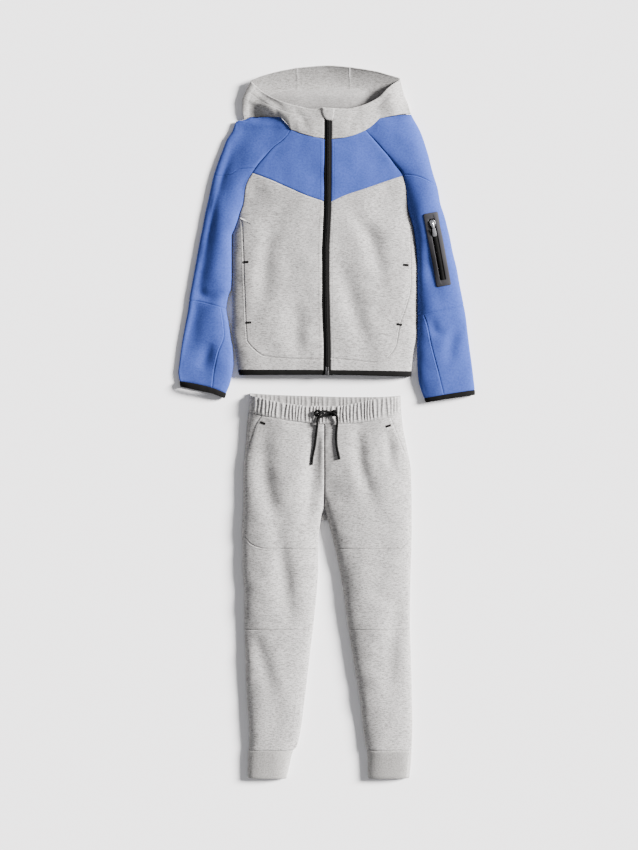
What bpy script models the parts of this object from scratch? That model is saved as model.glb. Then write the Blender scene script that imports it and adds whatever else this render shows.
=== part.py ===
"""A child's tracksuit laid flat on its back: hooded zip jacket above, joggers below.

Sizes are in millimetres in the tables and become metres in the meshes. -X is the left side as
seen from above, +Y runs towards the hood, and the cloth rests on z = 0. Each garment tube, such as
a sleeve or a leg, is described by its outline and its height, and every panel is cut out of a tube.
"""

import math

import bmesh
import bpy
import numpy as np
from mathutils import Matrix, Vector

MM = 0.001
CLOTH = 2.0  # thickness of the bonded jersey
HOOD_CLOTH = 3.0  # the hood is two layers of it
RIB = 2.4
BINDING = 2.8
SEAM_GAP = 0.4
SIDE_SEAM = 6.5  # height at which front and back meet along a folded edge
UNDER_TURN = 8.0  # how far in from a folded edge the back turns up
GRADIENT_STEP = 0.3
ORIGIN_SHIFT = (-0.2, -1.4)  # from the tables' centre to the centre of the whole set

BLUE = (0.13, 0.22, 0.53)
GREY = (0.62, 0.61, 0.60)
PALE_GREY = (0.70, 0.69, 0.69)
BLACK = (0.012, 0.012, 0.012)
FRAME_BLACK = (0.035, 0.034, 0.038)
STEEL = (0.62, 0.62, 0.64)
TAB_GREY = (0.22, 0.22, 0.23)

# Outlines: y, then the x of the two edges. A sleeve or a leg lists its outer edge first.
TORSO_OUTLINE = (
    (601.5, -73, 78), (580, -89, 97.5), (564, -109.5, 111.5), (547.5, -124, 126), (531, -138.5, 138.5),
    (512.5, -151.5, 153.5), (498, -161, 159), (481.5, -167, 163), (449, -171.5, 165.5),
    (432.5, -177.5, 168), (416, -182, 173), (399.5, -187.5, 177.5), (383.5, -193, 180),
    (350.5, -193.5, 183.5), (318, -193.5, 185.5), (186.5, -193.5, 185.5), (170, -191, 183.5),
    (154, -188, 180), (121, -183.5, 175.5), (93, -177.5, 173),
)
LEFT_SLEEVE_OUTLINE = (
    (629, -169, -96), (621, -184.5, -89), (613, -188.5, -82), (601.5, -192.5, -74), (580, -206, -90.1),
    (564, -212, -110.6), (547.5, -218.5, -125.2), (531, -224.5, -139.7), (512.5, -230.5, -152.6),
    (498, -234.5, -161.6), (481.5, -238, -167.6), (449, -245, -172.1), (432.5, -249, -178.1),
    (416, -252, -182.6), (399.5, -255, -188.1), (383.5, -258.5, -194.3), (350.5, -264.5, -194.3),
    (301.5, -273.5, -194.3), (277, -278, -196), (260.5, -281, -202), (235.5, -284, -206),
    (203, -290, -201), (170, -296, -196), (154, -298.5, -193), (121, -302.5, -191.5),
    (104.5, -304.5, -193.5), (80, -300.5, -198.5), (63.5, -298.5, -205), (45, -297, -212),
)
RIGHT_SLEEVE_OUTLINE = (
    (634, 174, 117), (625, 178.5, 109), (613, 185.5, 95.5), (599.5, 192.5, 81), (580, 200, 98.7),
    (564, 205, 112.7), (547.5, 210, 127.2), (531, 214, 139.7), (512.5, 219, 154.7), (498, 223.5, 159.6),
    (481.5, 228.5, 163.6), (449, 234.5, 166.1), (432.5, 240, 168.6), (416, 245, 173.6),
    (399.5, 249, 178.1), (383.5, 253, 180.8), (350.5, 259.5, 184.5), (318, 267.5, 186.5),
    (285, 273.5, 186.5), (252, 280, 186.5), (219.5, 286, 186.5), (186.5, 290, 186.5), (154, 294, 186),
    (121, 298.5, 186.5), (88, 302.5, 189), (67.5, 304.5, 194.5), (53, 304.5, 200), (38, 304.5, 207),
)
LEFT_LEG_OUTLINE = (
    (24, -160, -5.2), (-2, -163, -5.2), (-51, -167, -5.2), (-100.5, -171, -5), (-174, -171.5, -5),
    (-186.5, -172.5, -9), (-199, -173, -11.5), (-223.5, -174, -15), (-256, -173, -17),
    (-297, -173, -17), (-346.5, -169, -20), (-420, -169, -27.5), (-469.5, -167, -33.5),
    (-518.5, -166, -39), (-568, -164, -45), (-617, -160, -51), (-650, -159, -57), (-664, -159.5, -61),
    (-673, -161, -68), (-699, -161.5, -75), (-731, -162, -82),
)
RIGHT_LEG_OUTLINE = (
    (24, 153.5, -4), (-2, 156, -4), (-51, 165, -4), (-100.5, 173.5, -4), (-174, 175, -4),
    (-186.5, 175, 0), (-199, 175, 3), (-223.5, 175, 9), (-256, 174.5, 17), (-297, 173, 25.5),
    (-346.5, 172, 34.5), (-420, 171.5, 44), (-469.5, 173, 52), (-518.5, 174.5, 60), (-568, 175.5, 68),
    (-617, 176.5, 74), (-650, 176, 78), (-664, 175.5, 80), (-673, 175, 82.5), (-699, 173, 84.5),
    (-733, 170, 85),
)
WAIST_OUTLINE = ((64, -158, 152.5), (40, -158, 153), (24, -160, 153.5), (-6, -163.5, 156.5))

# Heights: y and the height of the middle of the front.
TORSO_CROWN = ((601.5, 32), (512.5, 31), (383.5, 28), (170, 25), (93, 21))
SLEEVE_CROWN = ((634, 27), (512.5, 28), (383.5, 26), (252, 24), (121, 20), (38, 16))
LEG_CROWN = ((24, 28), (-100, 28), (-256, 27), (-420, 26), (-568, 23), (-664, 20), (-733, 18))
WAIST_CROWN = ((64, 27.5), (-6, 28))

# Edges that join another piece instead of folding: y, height on the front, height on the back.
RAGLAN_EDGE = ((634, 21, 0), (601.5, 27, 0), (512.5, 22, 0), (449, 14, 1), (405, 7.5, 5.5), (383.5, 6.5, 6.5))
CROTCH_EDGE = ((24, 27.5, 0), (-76, 22, 0), (-140, 14, 1), (-180, 7, 6), (-190, 6.5, 6.5))

# Top of each shoulder: x, y, height on the front, height on the back.
LEFT_SHOULDER_TOP = (
    (-184.5, 620.5, 6.5, 6.5), (-168, 623, 7.5, 5.5), (-154, 629, 10, 3), (-126, 629.5, 15, 0),
    (-95.5, 628.5, 21, 0), (-85, 618, 24, 0), (-73, 601.5, 27, 0),
)
RIGHT_SHOULDER_TOP = (
    (78, 599, 27, 0), (93.5, 610, 24, 0), (108.5, 625, 21, 0), (134.5, 630.5, 15, 0),
    (159, 634, 10, 3), (174, 633.5, 6.5, 6.5),
)
SHOULDER_TURN = 24.0

# Largest folds: start, middle and end of each, its half width and its depth (a ridge is positive).
TORSO_FOLDS = (
    ((-112, 410), (-121, 355), (-133, 245), 12, -2.4),
    ((-62, 245), (-62, 190), (-60, 134), 12, -1.8),
    ((52, 440), (95, 363), (114, 280), 12, -2.8),
    ((25, 350), (44, 272), (85, 145), 13, -2.2),
)
LEFT_SLEEVE_FOLDS = (
    ((-216, 480), (-222, 390), (-232, 280), 12, 1.8),
    ((-272, 268), (-242, 258), (-206, 268), 8, -2.0),
    ((-262, 110), (-250, 130), (-236, 165), 9, -1.8),
)
RIGHT_SLEEVE_FOLDS = (
    ((205, 380), (212, 320), (226, 262), 10, -1.8),
    ((284, 205), (262, 180), (250, 120), 10, -2.0),
    ((215, 215), (222, 190), (246, 180), 8, -1.5),
)
LEFT_LEG_FOLDS = (
    ((-128, -5), (-128, -100), (-104, -205), 14, -3.2),
    ((-106, -200), (-88, -300), (-76, -404), 12, -2.4),
    ((-24, -12), (-28, -96), (-40, -219), 10, -2.6),
    ((-157, -404), (-132, -486), (-105, -568), 12, -2.0),
)
RIGHT_LEG_FOLDS = (
    ((64, -8), (68, -76), (93, -158), 10, -2.8),
    ((124, -12), (130, -50), (134, -92), 8, -2.2),
    ((150, -330), (140, -430), (128, -560), 13, -1.8),
)

# Seams of the torso, each from the outer edge towards the zip or from the neck down.
ZIP_LINE = ((646, 3), (613, 3), (449, 2), (399.5, 0), (350.5, -2), (301.5, -2), (227.5, -1), (137.5, 1), (93, 1))
ZIP_HALF = 7.5
TORSO_SEAMS = {
    "left": {
        "edge": 0.0, "zip_side": -1, "yoke_end": 512.5, "zip_at": {"neck": 580.5, "yoke": 454, "hem": 130},
        "neck": ((-73, 601.5), (-48, 592.5)),
        "yoke": ((-151.5, 512.5), (-114, 498), (-77, 481.5), (-40, 465.5)),
        "pocket_top": 421,
        "pocket": ((-176.5, 420), (-172.5, 404.5), (-170, 331.5), (-165.5, 206.5), (-163.5, 169)),
        "hem": ((-163.5, 169), (-152.5, 155), (-128, 137.5), (-75, 132)),
    },
    "right": {
        "edge": 1.0, "zip_side": 1, "yoke_end": 506.5, "zip_at": {"neck": 580, "yoke": 453, "hem": 133},
        "neck": ((78, 599), (53.5, 589)),
        "yoke": ((155.8, 506.5), (130, 498), (83, 481.5), (36, 465.5)),
        "pocket_top": 422,
        "pocket": ((168, 421), (171.5, 404), (173, 330), (173, 283), (161, 231.5), (150.5, 202), (143, 158.5)),
        "hem": ((143, 158.5), (132, 141.5), (119, 130), (101, 124), (48, 129)),
    },
}
HEM_TOP = ((0.0, 109.5), (0.5, 108.8), (1.0, 106.3))
HEM_BOTTOM = ((0.0, 98.4), (0.5, 99.0), (1.0, 95.2))
UNDERARM = 383.5
BACK_YOKE_SEAM = ((-151.5, 512.5), (-60, 500), (2, 497), (60, 500), (153.5, 512.5))

# Seams of the sleeves from the outer edge inwards; cuff lines are share across and y.
SLEEVE_SEAMS = {
    "left": {
        "shoulder": ((-231.5, 509.5), (-202, 509.5), (-179.5, 519.5), (-146, 522)),
        "elbow": ((-282, 251.5), (-262, 249), (-232.5, 242), (-216, 238)),
        "elbow_inner": ((-216, 238), (-206, 235)),
        "forearm": ((-216, 238), (-210, 181), (-222.5, 143.5), (-231, 105)),
        "cuff_split": 0.66,
        "cuff_top": ((0, 85.5), (0.4, 78.5), (0.68, 71.5), (1, 61)),
        "cuff_bottom": ((0, 74.5), (0.45, 65), (0.68, 60.5), (1, 50.5)),
    },
    "right": {
        "shoulder": ((225.5, 488.5), (181.5, 506.5), (156, 509.5)),
        "elbow": ((282, 241.5), (243, 232.5), (199, 222.5)),
        "elbow_inner": ((199, 222.5), (186.5, 220)),
        "forearm": ((199, 222.5), (203, 212.5), (215, 158.5), (230.5, 99)),
        "cuff_split": 0.6,
        "cuff_top": ((0, 68), (0.55, 59), (1, 50.5)),
        "cuff_bottom": ((0, 57.5), (0.5, 50), (1, 42)),
    },
}

# Seams of the legs from the outer edge inwards; pocket lines run down.
LEG_SEAMS = {
    "left": {
        "waist_outer": ((-160, 23.5), (-132, 15.5)),
        "waist": ((-132, 15.5), (-107, 10), (-59.5, 2.5), (-5.2, -2)),
        "pocket": ((-132, 15.5), (-144.5, -2), (-152.5, -26.5), (-160, -51), (-165.8, -66)),
        "pocket_end": -67.5,
        "thigh": ((-174, -221.5), (-154, -249), (-124, -257.5), (-75, -258.5), (-17, -258.5)),
        "knee": ((-169, -424.5), (-28, -424.5)),
    },
    "right": {
        "waist_outer": ((153.6, 20.5), (130, 12.5)),
        "waist": ((130, 12.5), (92.5, 4), (52.5, -1), (-4, -2)),
        "pocket": ((130, 12.5), (145, -23.5), (152.5, -43), (165.5, -71)),
        "pocket_end": -72.5,
        "thigh": ((174.8, -231.5), (146.5, -258), (110, -258.5), (68.5, -258.5), (17.6, -258.5)),
        "knee": ((171.5, -424.5), (44.4, -424.5)),
    },
}
ANKLE_TOP = -672.0
ANKLE_BOTTOM = -729.5

WAIST_FRONT_TOP = (
    (-157.8, 57), (-126, 49.5), (-95.5, 43), (-60.5, 37.5), (-36, 35), (17.5, 35), (68.5, 43), (90, 48),
    (116, 52.5), (152.8, 55),
)
WAIST_BACK_TOP = ((-157.9, 61.5), (-107.5, 58), (-29.5, 55.5), (56.5, 53.5), (103.5, 53.5), (152.6, 56))
WAIST_BOTTOM = (
    (-160, 23.8), (-132, 15.8), (-107, 10.3), (-59.5, 2.8), (-1, -1.7), (52.5, -0.7), (92.5, 4.3),
    (130, 12.8), (153.6, 20.8),
)
GATHERS = 42
GATHER_DEPTH = 1.9
BACK_GATHERS = 34

# Hood: far rim, near rim, outer fold and lower edge, each from the outer corner inwards or down.
HOOD = {
    "left": {
        "zip_side": -1,
        "far_rim": ((-154.5, 704), (-130, 713), (-105.5, 720), (-60.8, 729)),
        "near_rim": ((-154.5, 700), (-132, 680.5), (-105.5, 664), (-54.5, 647.5), (-27.5, 642.5)),
        "fold": ((-155, 702), (-166, 682.5), (-173, 662), (-172.5, 641.5), (-169, 624.4)),
        "shoulder": ((-169, 624.4), (-154, 630), (-126, 630.5), (-95.5, 629.5)),
        "neck": ((-95.5, 629.5), (-85, 619.5), (-73, 603)),
        "collar": ((-73, 603), (-48, 594)),
        "zip_top": 644, "zip_bottom": 582,
        "back_edge": ((-169, 624.4), (-154, 630), (-120, 630.5), (-60.8, 631)),
    },
    "right": {
        "zip_side": 1,
        "far_rim": ((150.5, 708), (126, 715.5), (99.5, 722.5), (48.3, 730.5)),
        "near_rim": ((150.5, 704), (138.5, 695), (120, 680), (105.5, 666), (66.5, 648), (42, 643)),
        "fold": ((151, 706), (160.5, 671), (168, 653), (172.5, 635.2)),
        "shoulder": ((172.5, 635.2), (159, 635.3), (134.5, 631.8), (109, 626.6)),
        "neck": ((109, 626.6), (93.5, 611.6), (78, 600.8)),
        "collar": ((78, 600.8), (53.5, 590.8)),
        "zip_top": 644, "zip_bottom": 581.6,
        "back_edge": ((172.5, 635.2), (159, 635.6), (120, 632.5), (48.3, 631)),
    },
}
HOOD_CENTRE_RIM = ((-60.2, 729), (5, 733.6), (47.7, 730.5))
HOOD_BACK_BOTTOM = 631.0
HOOD_RIM_ZIP = 38.0
HOOD_RIM_CORNER = 23.0
HOOD_BRIM = 20.0
HOOD_BRIM_CORNER = 12.0
HOOD_BRIM_REACH = 42.0
HOOD_FOLD = 7.5
NECK_FACING_TOP = ((-122, 675), (-61.5, 685), (-1, 688), (47.5, 687), (108, 675))
NECK_FACING_BOTTOM = ((-112, 642), (-60, 638), (0, 637), (60, 638), (100, 642))
NECK_FACING_RISE = ((0, 5.6), (0.12, 9.0), (0.35, 14.0), (0.7, 12.0), (0.92, 7.2), (1, 5.6))
NECK_FACING_CLOTH = 2.0
CHIN_GUARD = ((-9.5, 645.5), (-8.5, 634), (-4.5, 624), (2.5, 619), (11, 618.5), (15, 630), (16, 642))

# Sleeve pocket on the right sleeve: ends of its centre line, widths, lengths.
POCKET_START = (213, 430.7)
POCKET_END = (240.8, 280.3)
POCKET_WIDTH = 30.5
CHANNEL_WIDTH = 12.0
CHANNEL_MARGIN = 13.0
POCKET_LIFT = 0.5
POCKET_THICK = 1.0
POCKET_ZIP_THICK = 0.6
SLIDER_AT = 24.0  # from the top of the frame to the middle of the slider
SLIDER_SIZE = (11.0, 17.0, 2.6)
CROWN_SIZE = (4.4, 13.0, 2.0)
PULL_SIZE = (9.6, 17.5, 1.2)
PULL_AXIS_LIFT = 0.75
PULL_AXIS_OUT = 0.75

BARTACK = (11.0, 5.0, 1.0)
BARTACKS = {
    "bartack_left_upper": ("torso", (-165, 330), 4),
    "bartack_left_lower": ("torso", (-159.5, 206), 4),
    "bartack_right_upper": ("torso", (163, 324), -4),
    "bartack_right_lower": ("torso", (149.5, 202), -8),
    "bartack_hip_left": ("leg_left", (-130.5, 0), -20),
    "bartack_hip_right": ("leg_right", (126.5, -6), 18),
}

DRAWSTRING_WIDTH = 5.0
DRAWSTRING_SIDES = 2
KNOT_LEFT = (-18.0, 19.5, 13.5)
KNOT_RIGHT = (16.5, 20.0, 11.0)
STRAND_UPPER = ((-14, 21), (-6, 23.8), (1, 23.6), (9, 21.5), (14, 21))
STRAND_LOWER = ((-14, 17.5), (-5, 18.2), (4, 17.4), (12, 17))
END_LEFT = ((-18.4, 12.5), (-19, -5.5), (-21.5, -28), (-24.5, -50), (-28, -68), (-31, -85.5))
END_RIGHT = ((18.6, 14.6), (21.6, 6), (21.8, -8), (20, -28), (21, -48), (24.2, -63.5), (27, -75))


def smooth(xs, values, at):
    """Curve through a table's points with no overshoot (monotone cubic)."""
    xs = np.asarray(xs, float)
    values = np.asarray(values, float)
    if xs[0] > xs[-1]:
        xs, values = xs[::-1], values[::-1]
    steps = np.diff(xs)
    slopes = np.diff(values) / steps
    tangents = np.zeros(len(xs))
    tangents[0], tangents[-1] = slopes[0], slopes[-1]
    same = slopes[:-1] * slopes[1:] > 0
    first = 2 * steps[1:] + steps[:-1]
    second = steps[1:] + 2 * steps[:-1]
    with np.errstate(divide="ignore", invalid="ignore"):
        mean = (first + second) / (first / slopes[:-1] + second / slopes[1:])
    tangents[1:-1] = np.where(same, mean, 0.0)
    at = np.clip(np.asarray(at, float), xs[0], xs[-1])
    i = np.clip(np.searchsorted(xs, at, side="right") - 1, 0, len(steps) - 1)
    t = (at - xs[i]) / steps[i]
    return (
        values[i] * (1 + 2 * t) * (1 - t) ** 2
        + tangents[i] * steps[i] * t * (1 - t) ** 2
        + values[i + 1] * t * t * (3 - 2 * t)
        - tangents[i + 1] * steps[i] * t * t * (1 - t)
    )


def column(rows, index, at):
    """A table's column, read at any value of its first column."""
    return smooth([row[0] for row in rows], [row[index] for row in rows], at)


def even(count):
    return np.linspace(0.0, 1.0, count + 1)


def near_start(count, power=1.8):
    return even(count) ** power


def near_both(count):
    return (1 - np.cos(np.pi * even(count))) / 2


def along(points, stations):
    """A smooth line through points, read at shares of its length."""
    points = np.asarray(points, float)
    run = np.concatenate([[0], np.cumsum(np.linalg.norm(np.diff(points, axis=0), axis=1))])
    at = np.asarray(stations) * run[-1]
    return np.column_stack([smooth(run, points[:, k], at) for k in range(points.shape[1])])


def chain(*lines):
    """Lines joined end to end, each later one without its first point."""
    return np.concatenate([lines[0]] + [line[1:] for line in lines[1:]])


def shares(line):
    run = np.concatenate([[0], np.cumsum(np.linalg.norm(np.diff(line, axis=0), axis=1))])
    return run / run[-1]


def coons(left, right, top, bottom):
    """Grid of points between four border lines: rows run from top to bottom."""
    u = ((shares(top) + shares(bottom)) / 2)[None, :, None]
    v = ((shares(left) + shares(right)) / 2)[:, None, None]
    ruled = (1 - v) * top[None] + v * bottom[None] + (1 - u) * left[:, None] + u * right[:, None]
    corners = (1 - v) * ((1 - u) * top[0] + u * top[-1]) + v * ((1 - u) * bottom[0] + u * bottom[-1])
    return ruled - corners


def fold_depth(folds, x, y):
    """Sum of the soft troughs and ridges at a point."""
    total = np.zeros_like(x)
    for start, middle, end, width, depth in folds:
        t = even(12)
        line = along((start, middle, end), t)
        gap = np.hypot(x[..., None] - line[:, 0], y[..., None] - line[:, 1])
        nearest = gap.argmin(axis=-1)
        taper = np.sin(np.pi * (0.06 + 0.88 * t[nearest]))
        total += depth * taper * np.exp(-((gap.min(axis=-1) / width) ** 2))
    return total


def rise(t, valley, power):
    """Height across half a tube, 0 at its edge and 1 at its middle: a rounded fold or a shallow valley."""
    t = np.clip(t, 0, 1)
    return (1 - valley) * np.sqrt(1 - (1 - t) ** power) + valley * (1 - (1 - t) ** 2)


def under_turn(distance):
    """Share of the edge height at a distance in from a folded edge, on the underside."""
    t = np.clip(distance / UNDER_TURN, 0, 1)
    return 1 - np.sqrt(1 - (1 - t) ** 2)


class Tube:
    """A tube of cloth lying flat: s is the share from its first edge to its second."""

    def __init__(self, outline, crown, power, edges=(None, None), folds=(), top=None):
        self.outline = outline
        self.crown = crown
        self.power = power
        self.edges = edges
        self.folds = folds
        self.top = top

    def edge_x(self, which, y):
        return column(self.outline, 1 + which, y)

    def x(self, s, y):
        first = self.edge_x(0, y)
        return first + s * (self.edge_x(1, y) - first)

    def share(self, x, y):
        first = self.edge_x(0, y)
        return (x - first) / (self.edge_x(1, y) - first)

    def edge_height(self, which, face, y):
        table = self.edges[which]
        if table is None:
            return np.full_like(np.asarray(y, float), SIDE_SEAM)
        return column(table, 1 + face, y)

    def valley(self, which, y):
        return np.clip((self.edge_height(which, 0, y) - self.edge_height(which, 1, y)) / 12, 0, 1)

    def top_drop(self, x, y):
        return column(self.top, 1, x) - y

    def front(self, s, y):
        """Height of the upper face."""
        x = self.x(s, y)
        crown = column(self.crown, 1, y)
        halves = []
        for which, t in ((0, 2 * s), (1, 2 * (1 - s))):
            edge = self.edge_height(which, 0, y)
            halves.append(edge + (crown - edge) * rise(t, self.valley(which, y), self.power))
        z = np.where(s < 0.5, halves[0], halves[1])
        fade = np.clip(np.minimum(s, 1 - s) / 0.08, 0, 1)
        z = z + fade * fold_depth(self.folds, x, y)
        if self.top:
            low = column(self.top, 2, x)
            open_top = np.clip((low - column(self.top, 3, x)) / 12, 0, 1)
            t = np.clip(self.top_drop(x, y) / SHOULDER_TURN, 0, 1)
            z = np.where(t < 1, low + (z - low) * rise(t, open_top, 2.0), z)
        return z

    def back(self, s, y):
        """Height of the lower face."""
        x = self.x(s, y)
        width = np.abs(self.edge_x(1, y) - self.edge_x(0, y))
        z = self.edge_height(0, 1, y) * under_turn(s * width)
        z = np.maximum(z, self.edge_height(1, 1, y) * under_turn((1 - s) * width))
        if self.top:
            z = np.maximum(z, column(self.top, 3, x) * under_turn(self.top_drop(x, y)))
        return z

    def height(self, face, s, y):
        return self.back(s, y) if face else self.front(s, y)

    def point(self, face, s, y):
        return np.stack([self.x(s, y), y, self.height(face, s, y)], axis=-1)

    def outward(self, face, s, y):
        """Unit normals that point out of the garment; at a folded edge they lie level."""
        x = self.x(s, y)
        step = GRADIENT_STEP
        lows = np.clip(self.share(x - step, y), 0, 1), np.clip(self.share(x + step, y), 0, 1)
        run = self.x(lows[1], y) - self.x(lows[0], y)
        slope_x = (self.height(face, lows[1], y) - self.height(face, lows[0], y)) / run
        below = np.clip(self.share(x, y - step), 0, 1)
        above = np.clip(self.share(x, y + step), 0, 1)
        slope_y = (self.height(face, above, y + step) - self.height(face, below, y - step)) / (2 * step)
        normal = np.stack([-slope_x, -slope_y, np.ones_like(x)], axis=-1)
        normal /= np.linalg.norm(normal, axis=-1, keepdims=True)
        if face:
            normal = -normal
        side = np.sign(self.edge_x(1, y) - self.edge_x(0, y))
        for which, sign in ((0, -1), (1, 1)):
            lean = (self.edge_x(which, y + 1) - self.edge_x(which, y - 1)) / 2
            level = np.stack([sign * side, -sign * side * lean, np.zeros_like(x)], axis=-1)
            level /= np.linalg.norm(level, axis=-1, keepdims=True)
            folded = (1 - self.valley(which, y)) * (np.abs(s - which) < 1e-6)
            normal = normal * (1 - folded[..., None]) + level * folded[..., None]
        if self.top:
            lean = (column(self.top, 1, x + 1) - column(self.top, 1, x - 1)) / 2
            level = np.stack([-lean, np.ones_like(x), np.zeros_like(x)], axis=-1)
            level /= np.linalg.norm(level, axis=-1, keepdims=True)
            open_top = np.clip((column(self.top, 2, x) - column(self.top, 3, x)) / 12, 0, 1)
            folded = (1 - open_top) * (np.abs(self.top_drop(x, y)) < 0.7)
            normal = normal * (1 - folded[..., None]) + level * folded[..., None]
        return normal / np.linalg.norm(normal, axis=-1, keepdims=True)

    def line(self, points, stations, snap=(True, True)):
        """A seam given in x and y, as share and y, its ends put on the tube's edges."""
        found = along(points, stations)
        found[:, 0] = np.clip(self.share(found[:, 0], found[:, 1]), 0, 1)
        for end, wanted in ((0, snap[0]), (-1, snap[1])):
            if wanted:
                found[end, 0] = round(found[end, 0])
        return found

    def edge(self, s, start, end, stations):
        y = start + (end - start) * np.asarray(stations)
        return np.column_stack([np.full_like(y, s), y])


def zip_x(y, side):
    return column(ZIP_LINE, 1, y) + side * ZIP_HALF


TUBES = {
    "torso": Tube(TORSO_OUTLINE, TORSO_CROWN, 4.5, (RAGLAN_EDGE, RAGLAN_EDGE), TORSO_FOLDS),
    "sleeve_left": Tube(
        LEFT_SLEEVE_OUTLINE, SLEEVE_CROWN, 2.5, (None, RAGLAN_EDGE), LEFT_SLEEVE_FOLDS, LEFT_SHOULDER_TOP
    ),
    "sleeve_right": Tube(
        RIGHT_SLEEVE_OUTLINE, SLEEVE_CROWN, 2.5, (None, RAGLAN_EDGE), RIGHT_SLEEVE_FOLDS, RIGHT_SHOULDER_TOP
    ),
    "leg_left": Tube(LEFT_LEG_OUTLINE, LEG_CROWN, 2.6, (None, CROTCH_EDGE), LEFT_LEG_FOLDS),
    "leg_right": Tube(RIGHT_LEG_OUTLINE, LEG_CROWN, 2.6, (None, CROTCH_EDGE), RIGHT_LEG_FOLDS),
    "waist": Tube(WAIST_OUTLINE, WAIST_CROWN, 6.0),
}
FRONT, BACK = 0, 1


def new_material(name, colour, roughness, metallic=0.0):
    material = bpy.data.materials.new(name)
    material.use_nodes = True
    shader = material.node_tree.nodes["Principled BSDF"]
    shader.inputs["Base Color"].default_value = (*colour, 1.0)
    shader.inputs["Roughness"].default_value = roughness
    shader.inputs["Metallic"].default_value = metallic
    material.diffuse_color = (*colour, 1.0)
    return material


def add_object(name, mesh, colour, roughness=0.9, metallic=0.0):
    obj = bpy.data.objects.new(name, mesh)
    mesh.materials.clear()
    mesh.materials.append(new_material(name, colour, roughness, metallic))
    GARMENT.objects.link(obj)
    return obj


def mesh_of(name, points, faces):
    """Mesh from points in millimetres, its faces turned outwards."""
    points = np.asarray(points, float)
    volume = 0.0
    for face in faces:
        for k in range(1, len(face) - 1):
            a, b, c = points[face[0]], points[face[k]], points[face[k + 1]]
            volume += np.dot(a, np.cross(b, c))
    if volume < 0:
        faces = [tuple(reversed(face)) for face in faces]
    shift = np.array([*ORIGIN_SHIFT, 0.0])
    mesh = bpy.data.meshes.new(name)
    mesh.from_pydata(((points + shift) * MM).tolist(), [], faces)
    mesh.validate()
    mesh.shade_smooth()
    mesh.set_sharp_from_angle(angle=math.radians(40))
    return mesh


def wall(name, outer, inner, colour, closed=False, roughness=0.9):
    """Closed wall between an outer and an inner grid of points; closed means a ring of columns."""
    rows, columns = outer.shape[:2]
    layer = rows * columns

    def at(i, j, inside):
        return i * columns + j % columns + inside * layer

    faces = []
    last = columns if closed else columns - 1
    for i in range(rows - 1):
        for j in range(last):
            square = ((i, j), (i + 1, j), (i + 1, j + 1), (i, j + 1))
            faces.append(tuple(at(*corner, 0) for corner in square))
            faces.append(tuple(at(*corner, 1) for corner in reversed(square)))
    for j in range(last):
        for i, a, b in ((0, j, j + 1), (rows - 1, j + 1, j)):
            faces.append((at(i, a, 0), at(i, b, 0), at(i, b, 1), at(i, a, 1)))
    if not closed:
        for i in range(rows - 1):
            for j, a, b in ((0, i + 1, i), (columns - 1, i, i + 1)):
                faces.append((at(a, j, 0), at(b, j, 0), at(b, j, 1), at(a, j, 1)))
    points = np.concatenate([outer.reshape(-1, 3), inner.reshape(-1, 3)])
    return add_object(name, mesh_of(name, points, faces), colour, roughness)


def parted(outer, inner, closed=False):
    """Moves each border in by half the seam gap, square to the border."""
    shift = np.zeros_like(outer)
    borders = [(0, 1, 0), (-1, -2, 0)] if closed else [(0, 1, 0), (-1, -2, 0), (0, 1, 1), (-1, -2, 1)]
    for edge, inside, axis in borders:
        border = np.take(outer, edge, axis=axis)
        inward = np.take(outer, inside, axis=axis) - border
        tangent = np.gradient(border, axis=0)
        tangent /= np.linalg.norm(tangent, axis=1, keepdims=True)
        inward -= tangent * np.sum(inward * tangent, axis=1, keepdims=True)
        inward *= (SEAM_GAP / 2) / np.linalg.norm(inward, axis=1, keepdims=True)
        if axis:
            shift[:, edge] += inward
        else:
            shift[edge] += inward
    return outer + shift, inner + shift


def panel(name, tube, face, left, right, top, bottom, colour, lift=0.0):
    """One cut piece of cloth on a tube, between four lines given as share and y."""
    grid = coons(left, right, top, bottom)
    s, y = np.clip(grid[..., 0], 0, 1), grid[..., 1]
    points = tube.point(face, s, y)
    normals = tube.outward(face, s, y)
    outer, inner = parted(points + lift * normals, points - CLOTH * normals)
    return wall(name, outer, inner, colour)


def across_back(tube, start, end, count):
    """Shares across a back panel, close together where it turns up at both edges."""
    width = abs(float(tube.edge_x(1, (start + end) / 2) - tube.edge_x(0, (start + end) / 2)))
    turn = UNDER_TURN / width
    middle = np.linspace(turn, 1 - turn, count + 1)
    return np.concatenate([[0, turn * 0.12, turn * 0.45], middle, [1 - turn * 0.45, 1 - turn * 0.12, 1]])


def level_line(tube, table, stations):
    """A line across a tube from a table of share and y."""
    return np.column_stack([stations, column(table, 1, stations)])


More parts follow.
